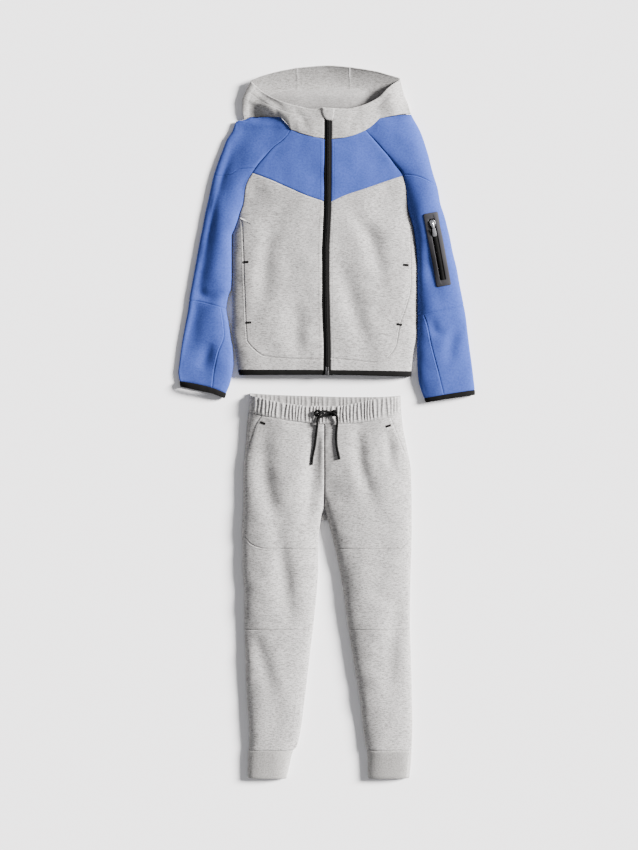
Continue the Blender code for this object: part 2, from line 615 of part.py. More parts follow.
def build_torso():
    torso = TUBES["torso"]
    for side, seams in TORSO_SEAMS.items():
        edge, zip_side = seams["edge"], seams["zip_side"]

        def to_zip(points, at, stations, start_on_edge=False):
            line = (*points, (float(zip_x(at, zip_side)), at))
            return torso.line(line, stations, (start_on_edge, False))

        def zip_edge(start, end, stations):
            y = start + (end - start) * stations
            return np.column_stack([torso.share(zip_x(y, zip_side), y), y])

        at = seams["zip_at"]
        neck_y, yoke_y = seams["neck"][0][1], seams["yoke_end"]
        yoke_seam = to_zip(seams["yoke"], at["yoke"], even(9), True)
        panel(
            "yoke_" + side, torso, FRONT,
            torso.edge(edge, neck_y, yoke_y, even(6)), zip_edge(at["neck"], at["yoke"], even(6)),
            to_zip(seams["neck"], at["neck"], even(9), True), yoke_seam, BLUE,
        )
        pocket_y = seams["pocket_top"]
        corner = torso.line(((float(torso.edge_x(int(edge), pocket_y)), pocket_y), seams["pocket"][0]), even(1), (True, False))
        pocket_seam = torso.line(seams["pocket"], even(10), (False, False))
        hem_seam = to_zip(seams["hem"], at["hem"], even(9))
        panel(
            "front_" + side, torso, FRONT,
            chain(torso.edge(edge, yoke_y, pocket_y, even(4)), corner, pocket_seam),
            zip_edge(at["yoke"], at["hem"], even(15)),
            yoke_seam, hem_seam, GREY,
        )
        hem_y = float(column(HEM_TOP, 1, edge))
        hem_zip = float(column(HEM_TOP, 1, 0.5))
        zip_share = float(torso.share(zip_x(hem_zip, zip_side), hem_zip))
        hem_shares = edge + (zip_share - edge) * near_start(9, 1.4)
        panel(
            "side_panel_" + side, torso, FRONT,
            chain(torso.edge(edge, pocket_y, hem_y, even(10)), level_line(torso, HEM_TOP, hem_shares)),
            chain(pocket_seam, hem_seam),
            corner[:1] + (corner[1:] - corner[:1]) * near_start(5)[:, None],
            hem_end(torso, HEM_TOP, zip_share, at["hem"], zip_side),
            GREY,
        )
    back_shares = across_back(torso, 500, 110, 4)
    yoke_line = torso.line(BACK_YOKE_SEAM, back_shares)
    panel(
        "back_yoke", torso, BACK,
        torso.edge(0.0, 601.5, 512.5, even(4)), torso.edge(1.0, 599, 512.5, even(4)),
        torso.line(((-73, 601.5), (2, 600.5), (78, 599)), back_shares), yoke_line, BLUE,
    )
    panel(
        "back_body", torso, BACK,
        chain(torso.edge(0.0, 512.5, UNDERARM, even(4)), torso.edge(0.0, UNDERARM, HEM_TOP[0][1], even(5))),
        chain(torso.edge(1.0, 512.5, UNDERARM, even(4)), torso.edge(1.0, UNDERARM, HEM_TOP[2][1], even(5))),
        yoke_line, level_line(torso, HEM_TOP, back_shares), GREY,
    )


def hem_end(torso, table, zip_share, seam_y, zip_side):
    """The short edge of a side panel beside the zip, from the hem up to its seam."""
    low = float(column(table, 1, zip_share))
    y = low + (seam_y - low) * near_start(5)
    return np.column_stack([torso.share(zip_x(y, zip_side), y), y])


def ring_points(tube, table, over, under, lift):
    """Outer points and normals round a tube on a line: over the front and back under it."""
    front = level_line(tube, table, over)
    back = level_line(tube, table, under[::-1][1:-1])
    points = np.concatenate([tube.point(FRONT, *front.T), tube.point(BACK, *back.T)])
    normals = np.concatenate([tube.outward(FRONT, *front.T), tube.outward(BACK, *back.T)])
    lifted = points + lift * normals
    lifted[:, 2] = np.maximum(lifted[:, 2], 0.0)
    return lifted, normals


def band(name, tube, top, bottom, over, under, rows, thickness, colour, lift=0.0):
    """Closed band of cloth round the end of a tube."""
    outers, inners = [], []
    for share in even(rows):
        table = [(a, (1 - share) * ya + share * float(column(bottom, 1, a))) for a, ya in top]
        points, normals = ring_points(tube, table, over, under, lift)
        outers.append(points)
        inners.append(points - thickness * normals)
    outer, inner = parted(np.array(outers), np.array(inners), closed=True)
    return wall(name, outer, inner, colour, closed=True)


def build_hem_binding():
    torso = TUBES["torso"]
    outers, inners = [], []
    for table in (HEM_TOP, HEM_BOTTOM):
        y = float(column(table, 1, 0.5))
        starts = [float(torso.share(zip_x(y, side), y)) for side in (-1, 1)]
        left = level_line(torso, table, starts[0] * near_start(9, 1.4)[::-1])
        under = level_line(torso, table, across_back(torso, 500, 110, 4)[1:-1])
        right = level_line(torso, table, 1 + (starts[1] - 1) * near_start(9, 1.4))
        points = np.concatenate([torso.point(FRONT, *left.T), torso.point(BACK, *under.T), torso.point(FRONT, *right.T)])
        normals = np.concatenate([torso.outward(FRONT, *left.T), torso.outward(BACK, *under.T), torso.outward(FRONT, *right.T)])
        lifted = points + 0.4 * normals
        lifted[:, 2] = np.maximum(lifted[:, 2], 0.0)
        outers.append(lifted)
        inners.append(lifted - BINDING * normals)
    outer, inner = parted(np.array(outers), np.array(inners))
    wall("hem_binding", outer, inner, BLACK)


def build_sleeve(side):
    tube, seams = TUBES["sleeve_" + side], SLEEVE_SEAMS[side]
    shoulder_top = tube.top if side == "left" else tube.top[::-1]
    top_line = [row[:2] for row in shoulder_top[:5 if side == "left" else 4]]
    neck_y, raglan_y = top_line[-1][1], seams["shoulder"][-1][1]
    outer_y, shoulder_y = top_line[0][1], seams["shoulder"][0][1]
    wide = near_both(9)
    shoulder = tube.line(seams["shoulder"], wide)
    panel(
        "sleeve_cap_" + side, tube, FRONT,
        tube.edge(0.0, outer_y, shoulder_y, near_start(8, 1.5)),
        chain(tube.edge(1.0, neck_y, 600.5, even(2)), tube.edge(1.0, 600.5, raglan_y, even(6))),
        tube.line(top_line, wide), shoulder, BLUE,
    )
    elbow_y, inner_y = seams["elbow"][0][1], seams["elbow_inner"][-1][1]
    elbow = chain(
        tube.line(seams["elbow"], near_start(7, 1.5), (True, False)),
        tube.line(seams["elbow_inner"], even(2), (False, True)),
    )
    panel(
        "sleeve_upper_" + side, tube, FRONT,
        tube.edge(0.0, shoulder_y, elbow_y, even(11)), tube.edge(1.0, raglan_y, inner_y, even(11)),
        shoulder, elbow, BLUE,
    )
    split = seams["cuff_split"]
    split_y = float(column(seams["cuff_top"], 1, split))
    split_point = (float(tube.x(split, split_y)), split_y)
    forearm = tube.line((*seams["forearm"], split_point), even(8), (False, False))
    over = (split * near_start(7, 1.5), split + (1 - split) * (1 - near_start(4)[::-1]))
    cuff_outer, cuff_inner = (level_line(tube, seams["cuff_top"], stations) for stations in over)
    panel(
        "forearm_outer_" + side, tube, FRONT,
        tube.edge(0.0, elbow_y, seams["cuff_top"][0][1], even(8)), forearm,
        tube.line(seams["elbow"], near_start(7, 1.5), (True, False)), cuff_outer, BLUE,
    )
    panel(
        "forearm_inner_" + side, tube, FRONT,
        forearm, tube.edge(1.0, inner_y, seams["cuff_top"][-1][1], even(8)),
        tube.line(seams["elbow_inner"], 1 - near_start(4)[::-1], (False, True)), cuff_inner, BLUE,
    )
    under = across_back(tube, 450, 250, 2)
    elbow_back = tube.line(seams["elbow"] + seams["elbow_inner"][1:], under)
    panel(
        "sleeve_back_upper_" + side, tube, BACK,
        tube.edge(0.0, outer_y, elbow_y, even(13)),
        chain(
            tube.edge(1.0, neck_y, 600.5, even(2)), tube.edge(1.0, 600.5, 512.5, even(4)),
            tube.edge(1.0, 512.5, UNDERARM, even(4)), tube.edge(1.0, UNDERARM, inner_y, even(3)),
        ),
        tube.line(top_line, under), elbow_back, BLUE,
    )
    panel(
        "sleeve_back_lower_" + side, tube, BACK,
        tube.edge(0.0, elbow_y, seams["cuff_top"][0][1], even(6)),
        tube.edge(1.0, inner_y, seams["cuff_top"][-1][1], even(6)),
        elbow_back, level_line(tube, seams["cuff_top"], under), BLUE,
    )
    band(
        "cuff_binding_" + side, tube, seams["cuff_top"], seams["cuff_bottom"], chain(*over), under, 1,
        BINDING, BLACK, 0.4,
    )


def back_waist_line(side, stations):
    seams = LEG_SEAMS[side]
    return TUBES["leg_" + side].line(seams["waist_outer"] + seams["waist"][1:], stations)


def build_leg(side):
    tube, seams = TUBES["leg_" + side], LEG_SEAMS[side]
    pocket = tube.line(seams["pocket"], even(4), (False, False))
    pocket_end = seams["pocket_end"]
    tip = pocket[-1] + (np.array((0.0, pocket_end)) - pocket[-1]) * (1 - near_start(4)[::-1])[:, None]
    wide = near_both(9)
    waist_y, centre_y = seams["waist_outer"][0][1], seams["waist"][-1][1]
    panel(
        "pocket_side_" + side, tube, FRONT,
        tube.edge(0.0, waist_y, pocket_end, even(4)), pocket,
        tube.line(seams["waist_outer"], near_start(4), (True, False)),
        tip[::-1], GREY,
    )
    thigh = tube.line(seams["thigh"], wide)
    thigh_y, thigh_inner = seams["thigh"][0][1], seams["thigh"][-1][1]
    panel(
        "hip_front_" + side, tube, FRONT,
        chain(pocket, tip, tube.edge(0.0, pocket_end, thigh_y, even(5))),
        tube.edge(1.0, centre_y, thigh_inner, even(13)),
        tube.line(seams["waist"], wide, (False, True)), thigh, GREY,
    )
    knee = tube.line(seams["knee"], wide)
    knee_y = seams["knee"][0][1]
    panel(
        "thigh_front_" + side, tube, FRONT,
        tube.edge(0.0, thigh_y, knee_y, even(6)), tube.edge(1.0, thigh_inner, knee_y, even(6)),
        thigh, knee, GREY,
    )
    ankle = ((0.0, ANKLE_TOP), (1.0, ANKLE_TOP))
    panel(
        "shin_front_" + side, tube, FRONT,
        tube.edge(0.0, knee_y, ANKLE_TOP, even(8)), tube.edge(1.0, knee_y, ANKLE_TOP, even(8)),
        knee, level_line(tube, ankle, wide), GREY,
    )
    under = across_back(tube, 0, -600, 2)
    panel(
        "leg_back_" + side, tube, BACK,
        tube.edge(0.0, waist_y, ANKLE_TOP, even(14)), tube.edge(1.0, centre_y, ANKLE_TOP, even(14)),
        back_waist_line(side, under), level_line(tube, ankle, under), GREY,
    )
    band(
        "leg_cuff_" + side, tube, ankle, ((0.0, ANKLE_BOTTOM), (1.0, ANKLE_BOTTOM - 1)), wide, under, 2,
        RIB, PALE_GREY,
    )


def back_waist_height(x):
    """Lower edge of the waistband's back: it follows the tops of both legs' backs."""
    tops = []
    for side in LEG_SEAMS:
        tube = TUBES["leg_" + side]
        line = back_waist_line(side, across_back(tube, 0, -600, 2))
        tops.extend(zip(tube.x(line[:, 0], line[:, 1]), line[:, 1]))
    tops.sort()
    return np.interp(x, [top[0] for top in tops], [top[1] for top in tops]) + 0.3


def build_waistband():
    """Front and back of the waist, gathered on elastic into standing waves."""
    tube = TUBES["waist"]
    for name, face, top, gathers, depth in (
        ("waistband_front", FRONT, WAIST_FRONT_TOP, GATHERS, GATHER_DEPTH),
        ("waistband_back", BACK, WAIST_BACK_TOP, BACK_GATHERS, GATHER_DEPTH * 0.7),
    ):
        stations = even(2 * gathers)
        if face:
            stations = np.unique(np.concatenate([stations, across_back(tube, 60, 0, 4)]))
        top_line, bottom_line = tube.line(top, stations), tube.line(WAIST_BOTTOM, stations)
        if face:
            bottom_line[:, 1] = back_waist_height(tube.x(bottom_line[:, 0], bottom_line[:, 1]))
        rows = even(1 if face else 2)[:, None, None]
        grid = (1 - rows) * top_line[None] + rows * bottom_line[None]
        s, y = grid[..., 0], grid[..., 1]
        points, normals = tube.point(face, s, y), tube.outward(face, s, y)
        wander = 0.22 * np.sin(9.1 * s) + 0.16 * np.sin(23.7 * s + 1)
        wave = 0.5 + 0.5 * np.cos(2 * np.pi * (gathers * s + wander))
        fade = np.clip(np.minimum(s, 1 - s) / 0.04, 0, 1) * np.array([0.8, 0.6] if face else [0.6, 1, 0.4])[:, None]
        swell = (depth * wave * fade)[..., None] * normals
        if face:
            outer, inner = points, points - CLOTH * normals - swell
        else:
            outer, inner = points + swell, points - CLOTH * normals
        wall(name, *parted(outer, inner), GREY)


def hood_height(seams, x):
    """Height of the line where the hood meets the shoulder, the neck and the yoke."""
    tops = LEFT_SHOULDER_TOP if seams["zip_side"] < 0 else RIGHT_SHOULDER_TOP
    return column(tops, 2, x)


def brim(x, y):
    """Height of the hood's far wall above the surface, raised towards its rim."""
    rim_y = column(((-160, 702), (-105.5, 720), (-60, 729), (5, 733.6), (48, 730.5), (99.5, 722.5), (155, 706)), 1, x)
    height = column(((-160, HOOD_BRIM_CORNER), (-60, HOOD_BRIM), (60, HOOD_BRIM), (155, HOOD_BRIM_CORNER)), 1, x)
    return height * np.clip(1 - (rim_y - y) / HOOD_BRIM_REACH, 0, 1) ** 1.7


def grid_normals(points):
    down = np.gradient(points, axis=0)
    right = np.gradient(points, axis=1)
    normal = np.cross(right, down)
    return normal / np.linalg.norm(normal, axis=-1, keepdims=True)


def build_hood_side(side):
    """One side of the hood: its far layer, the folded outer edge and its near layer in one piece."""
    seams = HOOD[side]
    zip_side = seams["zip_side"]
    torso = TUBES["torso"]
    rows = near_start(6, 1.15)
    fold = along(seams["fold"], rows)
    zip_top = (float(zip_x(seams["zip_top"], zip_side)), seams["zip_top"])
    zip_bottom = (float(zip_x(seams["zip_bottom"], zip_side)), seams["zip_bottom"])
    near_rim = along((*seams["near_rim"], zip_top), near_start(11, 1.4))
    lower = chain(
        along(seams["shoulder"], near_start(5, 1.4)), along(seams["neck"], even(2)),
        along((*seams["collar"], zip_bottom), even(4)),
    )
    zip_line = along((zip_top, zip_bottom), rows)
    near_rim[0], lower[0] = fold[0], fold[-1]
    near = coons(fold, zip_line, near_rim, lower)
    x, y = near[..., 0], near[..., 1]
    v = np.linspace(0, 1, len(rows))[:, None]
    u = np.linspace(0, 1, x.shape[1])[None, :]
    edge_z = HOOD_FOLD + (HOOD_BRIM_CORNER - HOOD_FOLD) * np.clip(1 - v / 0.4, 0, 1) ** 2
    rim_z = HOOD_RIM_CORNER + (HOOD_RIM_ZIP - HOOD_RIM_CORNER) * u
    lower_x, lower_y = lower[:, 0], lower[:, 1]
    collar_z = torso.front(np.clip(torso.share(lower_x, lower_y), 0, 1), lower_y)
    lower_z = np.where(np.arange(len(lower_x)) >= 7, collar_z, hood_height(seams, lower_x))
    target = rim_z + (lower_z[None, :] - rim_z) * v
    inset = np.hypot(x - x[:, :1], y - y[:, :1])
    swell = rise(inset / 55, 0.0, 2.4)
    hem = v ** 5
    z = edge_z + (target - edge_z) * (swell + (1 - swell) * hem)
    z = z + 3.0 * np.sin(np.pi * v) * swell * (1 - u) ** 0.5
    z[:, 0] = edge_z[:, 0]
    near = np.dstack([x, y, z])
    far_rim = along(seams["far_rim"], near_start(7, 1.8))
    back_edge = along(seams["back_edge"], near_start(7, 1.8))
    far_rim[0], back_edge[0] = fold[0], fold[-1]
    centre = along((far_rim[-1], back_edge[-1]), rows)
    far = coons(fold, centre, far_rim, back_edge)
    x, y = far[..., 0], far[..., 1]
    low = brim(x, y)
    inset = np.hypot(x - x[:, :1], y - y[:, :1])
    far = np.dstack([x, y, low + (edge_z - low) * under_turn(inset)])
    points = np.concatenate([far[:, ::-1], near[:, 1:]], axis=1)
    normals = grid_normals(points) * zip_side
    outer, inner = parted(points, points - HOOD_CLOTH * normals)
    wall("hood_side_" + side, outer, inner, GREY)


def build_hood():
    for side in HOOD:
        build_hood_side(side)
    rows, columns = near_start(6, 1.15), even(4)
    top = along(HOOD_CENTRE_RIM, columns)
    bottom = along(((-60.2, HOOD_BACK_BOTTOM), (47.7, HOOD_BACK_BOTTOM)), columns)
    grid = coons(along((top[0], bottom[0]), rows), along((top[-1], bottom[-1]), rows), top, bottom)
    x, y = grid[..., 0], grid[..., 1]
    points = np.dstack([x, y, brim(x, y)])
    normals = grid_normals(points)
    normals *= -np.sign(normals[..., 2:])
    wall("hood_centre", *parted(points, points - HOOD_CLOTH * normals), GREY)
    rows, columns = even(6), even(10)
    top, bottom = along(NECK_FACING_TOP, columns), along(NECK_FACING_BOTTOM, columns)
    grid = coons(along((top[0], bottom[0]), rows), along((top[-1], bottom[-1]), rows), top, bottom)
    lifted = column(NECK_FACING_RISE, 1, rows)[:, None]
    level = NECK_FACING_RISE[0][1]
    middle = np.sin(np.pi * np.clip(columns, 0.001, 0.999))[None, :] ** 0.5
    points = np.dstack([grid[..., 0], grid[..., 1], level + (lifted - level) * middle])
    normals = grid_normals(points)
    normals *= np.sign(normals[..., 2:])
    wall("neck_facing", *parted(points, points - NECK_FACING_CLOTH * normals), PALE_GREY)


def band_height(y):
    """Height of the cloth beside the zip, from the hem up over the collar."""
    torso = TUBES["torso"]
    middle = column(ZIP_LINE, 1, y)
    low = torso.front(torso.share(middle, np.minimum(y, 580.0)), np.minimum(y, 580.0))
    return low + (HOOD_RIM_ZIP - low) * np.clip((y - 581) / 63, 0, 1)


def build_zip():
    rows = np.concatenate([np.linspace(640, 580, 5), np.linspace(560, 99, 17)])
    across = np.array([-7.1, -3.2, 3.2, 7.1])
    x = column(ZIP_LINE, 1, rows)[:, None] + across[None]
    y = np.repeat(rows[:, None], 4, axis=1)
    z = band_height(rows)[:, None] - 0.6 + np.array([0, 0.5, 0.5, 0])[None]
    outer = np.dstack([x, y, z])
    inner = outer - np.array([0, 0, 2.2])
    wall("front_zip", outer, inner, BLACK, roughness=0.6)
    box = rounded_box("zip_pin_box", (7.0, 15.0, 2.2), 0.7, STEEL, 0.35, 1.0)
    place(box, (0.6, 106.0, float(band_height(np.array(106.0))) + 0.4 + 1.1))


def place(obj, position, turn=None):
    shift = np.array([*ORIGIN_SHIFT, 0.0])
    matrix = turn.to_4x4() if turn else Matrix.Identity(4)
    obj.matrix_world = Matrix.Translation(Vector((np.array(position) + shift) * MM)) @ matrix


def rounded_box(name, size, radius, colour, roughness, metallic=0.0):
    """Cube primitive with bevelled edges."""
    mesh = bpy.data.meshes.new(name)
    form = bmesh.new()
    bmesh.ops.create_cube(form, size=1.0)
    bmesh.ops.scale(form, vec=Vector(size) * MM, verts=form.verts)
    form.to_mesh(mesh)
    form.free()
    obj = add_object(name, mesh, colour, roughness, metallic)
    bevel = obj.modifiers.new("edges", "BEVEL")
    bevel.width = radius * MM
    bevel.segments = 2
    mesh.shade_smooth()
    return obj


def build_chin_guard():
    """Curved flap over the top of the zip, from a filled outline."""
    curve = bpy.data.curves.new("chin_guard", "CURVE")
    curve.dimensions = "2D"
    curve.fill_mode = "BOTH"
    curve.extrude = 0.9 * MM
    spline = curve.splines.new("POLY")
    outline = along((*CHIN_GUARD, CHIN_GUARD[0]), even(18))[:-1]
    middle = outline.mean(axis=0)
    spline.points.add(len(outline) - 1)
    for point, (x, y) in zip(spline.points, outline - middle):
        point.co = (x * MM, y * MM, 0, 1)
    spline.use_cyclic_u = True
    low, high = (float(band_height(np.array(y))) for y in (620.0, 644.0))
    tilt = Matrix.Rotation(math.atan2(high - low, 24.0), 3, "X")
    guide = bpy.data.objects.new("chin_guard", curve)
    GARMENT.objects.link(guide)
    place(guide, (middle[0], middle[1], float(band_height(np.array(middle[1]))) + 1.6), tilt)
    as_mesh(guide, PALE_GREY)


def as_mesh(guide, colour, roughness=0.9):
    """Turns a curve object into a mesh object of the same name, its caps joined on."""
    bpy.context.view_layer.update()
    graph = bpy.context.evaluated_depsgraph_get()
    mesh = bpy.data.meshes.new_from_object(guide.evaluated_get(graph))
    form = bmesh.new()
    form.from_mesh(mesh)
    bmesh.ops.remove_doubles(form, verts=form.verts, dist=0.00001)
    bmesh.ops.recalc_face_normals(form, faces=form.faces)
    form.to_mesh(mesh)
    form.free()
    name, matrix = guide.name, guide.matrix_world.copy()
    bpy.data.objects.remove(guide)
    obj = add_object(name, mesh, colour, roughness)
    obj.name = name
    obj.matrix_world = matrix
    return obj


def on_tube(tube, x, y):
    """Points and normals of a tube's front at places given in x and y."""
    x, y = np.asarray(x, float), np.asarray(y, float)
    s = np.clip(tube.share(x, y), 0, 1)
    return tube.point(FRONT, s, y), tube.outward(FRONT, s, y)


def patch(name, tube, centre, direction, widths, lengths, thickness, colour, lift, hole=None, roughness=0.6):
    """Thin piece on a tube's front: a grid across and along a direction, thickened outwards.

    hole is the range of columns and rows left open.
    """
    direction = np.array(direction, float) / np.linalg.norm(direction)
    side = np.array([-direction[1], direction[0]])
    across, lengthwise = np.meshgrid(widths, lengths)
    x = centre[0] + across * side[0] + lengthwise * direction[0]
    y = centre[1] + across * side[1] + lengthwise * direction[1]
    points, normals = on_tube(tube, x, y)
    points = points + lift * normals
    rows, columns = across.shape
    faces = []
    for i in range(rows - 1):
        for j in range(columns - 1):
            if hole and hole[0] <= j < hole[1] and hole[2] <= i < hole[3]:
                continue
            a = i * columns + j
            faces.append((a, a + 1, a + columns + 1, a + columns))
    used = sorted({k for face in faces for k in face})
    index = {k: n for n, k in enumerate(used)}
    flat = points.reshape(-1, 3)[used]
    faces = [tuple(index[k] for k in face) for face in faces]
    mesh = bpy.data.meshes.new(name)
    shift = np.array([*ORIGIN_SHIFT, 0.0])
    mesh.from_pydata(((flat + shift) * MM).tolist(), [], faces)
    mesh.update()
    if mesh.polygons[0].normal.z < 0:
        mesh.flip_normals()
    obj = add_object(name, mesh, colour, roughness)
    solid = obj.modifiers.new("thickness", "SOLIDIFY")
    solid.thickness = thickness * MM
    solid.offset = 1.0
    return obj


def pocket_frame():
    """Position, normal and axes of the sleeve pocket: along its length, across it and outwards."""
    start, end = np.array(POCKET_START), np.array(POCKET_END)
    return (start + end) / 2, end - start, float(np.linalg.norm(end - start))


def build_sleeve_pocket():
    tube = TUBES["sleeve_right"]
    centre, direction, length = pocket_frame()
    half, channel = POCKET_WIDTH / 2, CHANNEL_WIDTH / 2
    inner = length / 2 - CHANNEL_MARGIN
    widths = [-half, -channel, channel, half]
    lengths = np.concatenate([[-length / 2], np.linspace(-inner, inner, 7), [length / 2]])
    patch(
        "pocket_frame", tube, centre, direction, widths, lengths, POCKET_THICK, FRAME_BLACK, POCKET_LIFT,
        hole=(1, 2, 1, 7),
    )
    strip = channel - 0.4
    patch(
        "pocket_zip", tube, centre, direction, [-strip, 0, strip],
        np.linspace(-inner + 0.4, inner - 0.4, 7), POCKET_ZIP_THICK, BLACK, POCKET_LIFT,
    )
    along_axis = direction / np.linalg.norm(direction)
    at = np.array(POCKET_START) + along_axis * SLIDER_AT
    ahead = at + along_axis
    points, normals = on_tube(tube, [at[0], ahead[0]], [at[1], ahead[1]])
    up = Vector(normals[0])
    forward = Vector(points[1] - points[0])
    forward = (forward - up * forward.dot(up)).normalized()
    side = forward.cross(up)
    turn = Matrix((side, forward, up)).transposed()
    base = POCKET_LIFT + POCKET_ZIP_THICK + 0.55
    body = rounded_box("pocket_slider", SLIDER_SIZE, 0.8, STEEL, 0.25, 1.0)
    origin = Vector(points[0])
    place(body, origin + up * (base + SLIDER_SIZE[2] / 2), turn)
    crown = rounded_box("slider_crown", CROWN_SIZE, 0.6, STEEL, 0.25, 1.0)
    crown_z = base + SLIDER_SIZE[2] + CROWN_SIZE[2] / 2 - 0.2
    crown_y = (SLIDER_SIZE[1] - CROWN_SIZE[1]) / 2
    place(crown, origin + up * crown_z + forward * crown_y, turn)
    join = body.modifiers.new("crown", "BOOLEAN")
    join.operation = "UNION"
    join.object = crown
    hide_helper(crown)
    build_pull(origin, up, forward, side, base, crown_z)


def build_pull(origin, up, forward, side, base, crown_z):
    """Pull tab hinged at the slider's lower end, lying down on the zip."""
    axis_z = crown_z + CROWN_SIZE[2] / 2 + PULL_AXIS_LIFT
    axis_y = SLIDER_SIZE[1] / 2 + PULL_AXIS_OUT
    reach = PULL_SIZE[1]
    rest_z = POCKET_LIFT + POCKET_ZIP_THICK + 0.45 + PULL_SIZE[2] / 2
    droop = math.asin((axis_z - rest_z) / reach)
    hinge = origin + up * axis_z + forward * axis_y
    lay = Matrix((side, forward, up)).transposed() @ Matrix.Rotation(-droop, 3, "X")
    mesh = bpy.data.meshes.new("pocket_pull")
    form = bmesh.new()
    bmesh.ops.create_cube(form, size=1.0)
    size = Vector((PULL_SIZE[0], reach, PULL_SIZE[2]))
    bmesh.ops.scale(form, vec=size * MM, verts=form.verts)
    bmesh.ops.translate(form, vec=Vector((0, (reach / 2 - PULL_SIZE[2] / 2) * MM, 0)), verts=form.verts)
    form.to_mesh(mesh)
    form.free()
    pull = add_object("pocket_pull", mesh, TAB_GREY, 0.5)
    bevel = pull.modifiers.new("edges", "BEVEL")
    bevel.width = PULL_SIZE[2] * 0.49 * MM
    bevel.segments = 3
    place(pull, hinge, lay)


def hide_helper(obj):
    GARMENT.objects.unlink(obj)
    HELPERS.objects.link(obj)
    obj.hide_render = True
    obj.display_type = "WIRE"


def build_bartacks():
    length, width, thickness = BARTACK
    for name, (tube, centre, angle) in BARTACKS.items():
        turn = math.radians(angle)
        direction = (math.cos(turn), math.sin(turn))
        patch(
            name, TUBES[tube], centre, direction, np.linspace(-width / 2, width / 2, 2),
            np.linspace(-length / 2, length / 2, 4), thickness, BLACK, 0.4,
        )


def lying_height(x, y):
    """Height of the trousers' front or of the waistband's gathers under the drawstring."""
    left, right = TUBES["leg_left"], TUBES["leg_right"]
    waist = TUBES["waist"]
    waist_s = np.clip(waist.share(x, y), 0, 1)
    band_z = waist.front(waist_s, y) + GATHER_DEPTH
    leg_y = np.minimum(y, 0.0)
    left_z = left.front(np.clip(left.share(np.minimum(x, -5.2), leg_y), 0, 1), leg_y)
    right_z = right.front(np.clip(right.share(np.maximum(x, -4.0), leg_y), 0, 1), leg_y)
    leg_z = np.where(x < -4.6, left_z, right_z)
    blend = np.clip((y + 12) / 14, 0, 1)
    return np.maximum(leg_z + blend * GATHER_DEPTH, np.where(y > -2, band_z, 0))


def cord_points(route, count, lift=0.0):
    path = along(route, even(count))
    z = lying_height(path[:, 0], path[:, 1]) + DRAWSTRING_WIDTH / 2 + 0.5 + lift
    return np.column_stack([path, z])


def cord(name, points):
    curve = bpy.data.curves.new(name, "CURVE")
    curve.dimensions = "3D"
    curve.bevel_depth = DRAWSTRING_WIDTH / 2 * MM
    curve.bevel_resolution = DRAWSTRING_SIDES
    curve.use_fill_caps = True
    spline = curve.splines.new("POLY")
    spline.points.add(len(points) - 1)
    shift = np.array([*ORIGIN_SHIFT, 0.0])
    for point, place_at in zip(spline.points, (points + shift) * MM):
        point.co = (*place_at, 1)
    obj = bpy.data.objects.new(name, curve)
    GARMENT.objects.link(obj)
    return obj


def knot_blob(name, x, y, width):
    mesh = bpy.data.meshes.new(name)
    form = bmesh.new()
    bmesh.ops.create_uvsphere(form, u_segments=10, v_segments=6, radius=width / 2 * MM)
    bmesh.ops.scale(form, vec=Vector((1.0, 1.0, 0.78)), verts=form.verts)
    form.to_mesh(mesh)
    form.free()
    mesh.shade_smooth()
    obj = add_object(name, mesh, BLACK)
    z = float(lying_height(np.array(x), np.array(y))) + width / 2 * 0.78 - 0.5
    place(obj, (x, y, z))
    return obj


def build_drawstring():
    left_end = cord("drawstring_end_left", cord_points(END_LEFT, 11))
    right_end = cord("drawstring_end_right", cord_points(END_RIGHT, 10))
    for end in (left_end, right_end):
        end.data.materials.append(new_material(end.name, BLACK, 0.85))
    knot = knot_blob("drawstring_knot", *KNOT_LEFT)
    others = [knot_blob("knot_right", *KNOT_RIGHT)]
    for name, route, lift in (("strand_upper", STRAND_UPPER, 1.8), ("strand_lower", STRAND_LOWER, 0.6)):
        strand = cord(name, cord_points(route, 6, lift))
        others.append(as_mesh(strand, BLACK))
    for other in others:
        join = knot.modifiers.new(other.name, "BOOLEAN")
        join.operation = "UNION"
        join.object = other
        hide_helper(other)


def build_gusset():
    """Small piece let in at the crotch, between the two inner leg seams."""
    curve = bpy.data.curves.new("gusset", "CURVE")
    curve.dimensions = "2D"
    curve.fill_mode = "BOTH"
    curve.extrude = 1.0 * MM
    spline = curve.splines.new("POLY")
    outline = ((-4.5, -179.5), (-9.0, -190.5), (-10.6, -199.5), (2.2, -199.5), (0.1, -190.5), (-4.0, -181))
    spline.points.add(len(outline) - 1)
    for point, (x, y) in zip(spline.points, outline):
        point.co = (x * MM, y * MM, 0, 1)
    spline.use_cyclic_u = True
    guide = bpy.data.objects.new("gusset", curve)
    GARMENT.objects.link(guide)
    place(guide, (0.0, 0.0, 6.4))
    as_mesh(guide, GREY)


for old in list(bpy.data.objects):
    bpy.data.objects.remove(old)
GARMENT = bpy.data.collections.new("tracksuit")
HELPERS = bpy.data.collections.new("helpers")
for group in (GARMENT, HELPERS):
    bpy.context.scene.collection.children.link(group)
HELPERS.hide_render = True

build_torso()
build_hem_binding()
for hand in ("left", "right"):
    build_sleeve(hand)
    build_leg(hand)
build_hood()
build_zip()
build_chin_guard()
build_sleeve_pocket()
build_waistband()
build_gusset()
build_drawstring()
build_bartacks()
bpy.context.view_layer.update()
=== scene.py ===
import math

import bmesh
import bpy
import numpy as np
from mathutils import Matrix, Vector


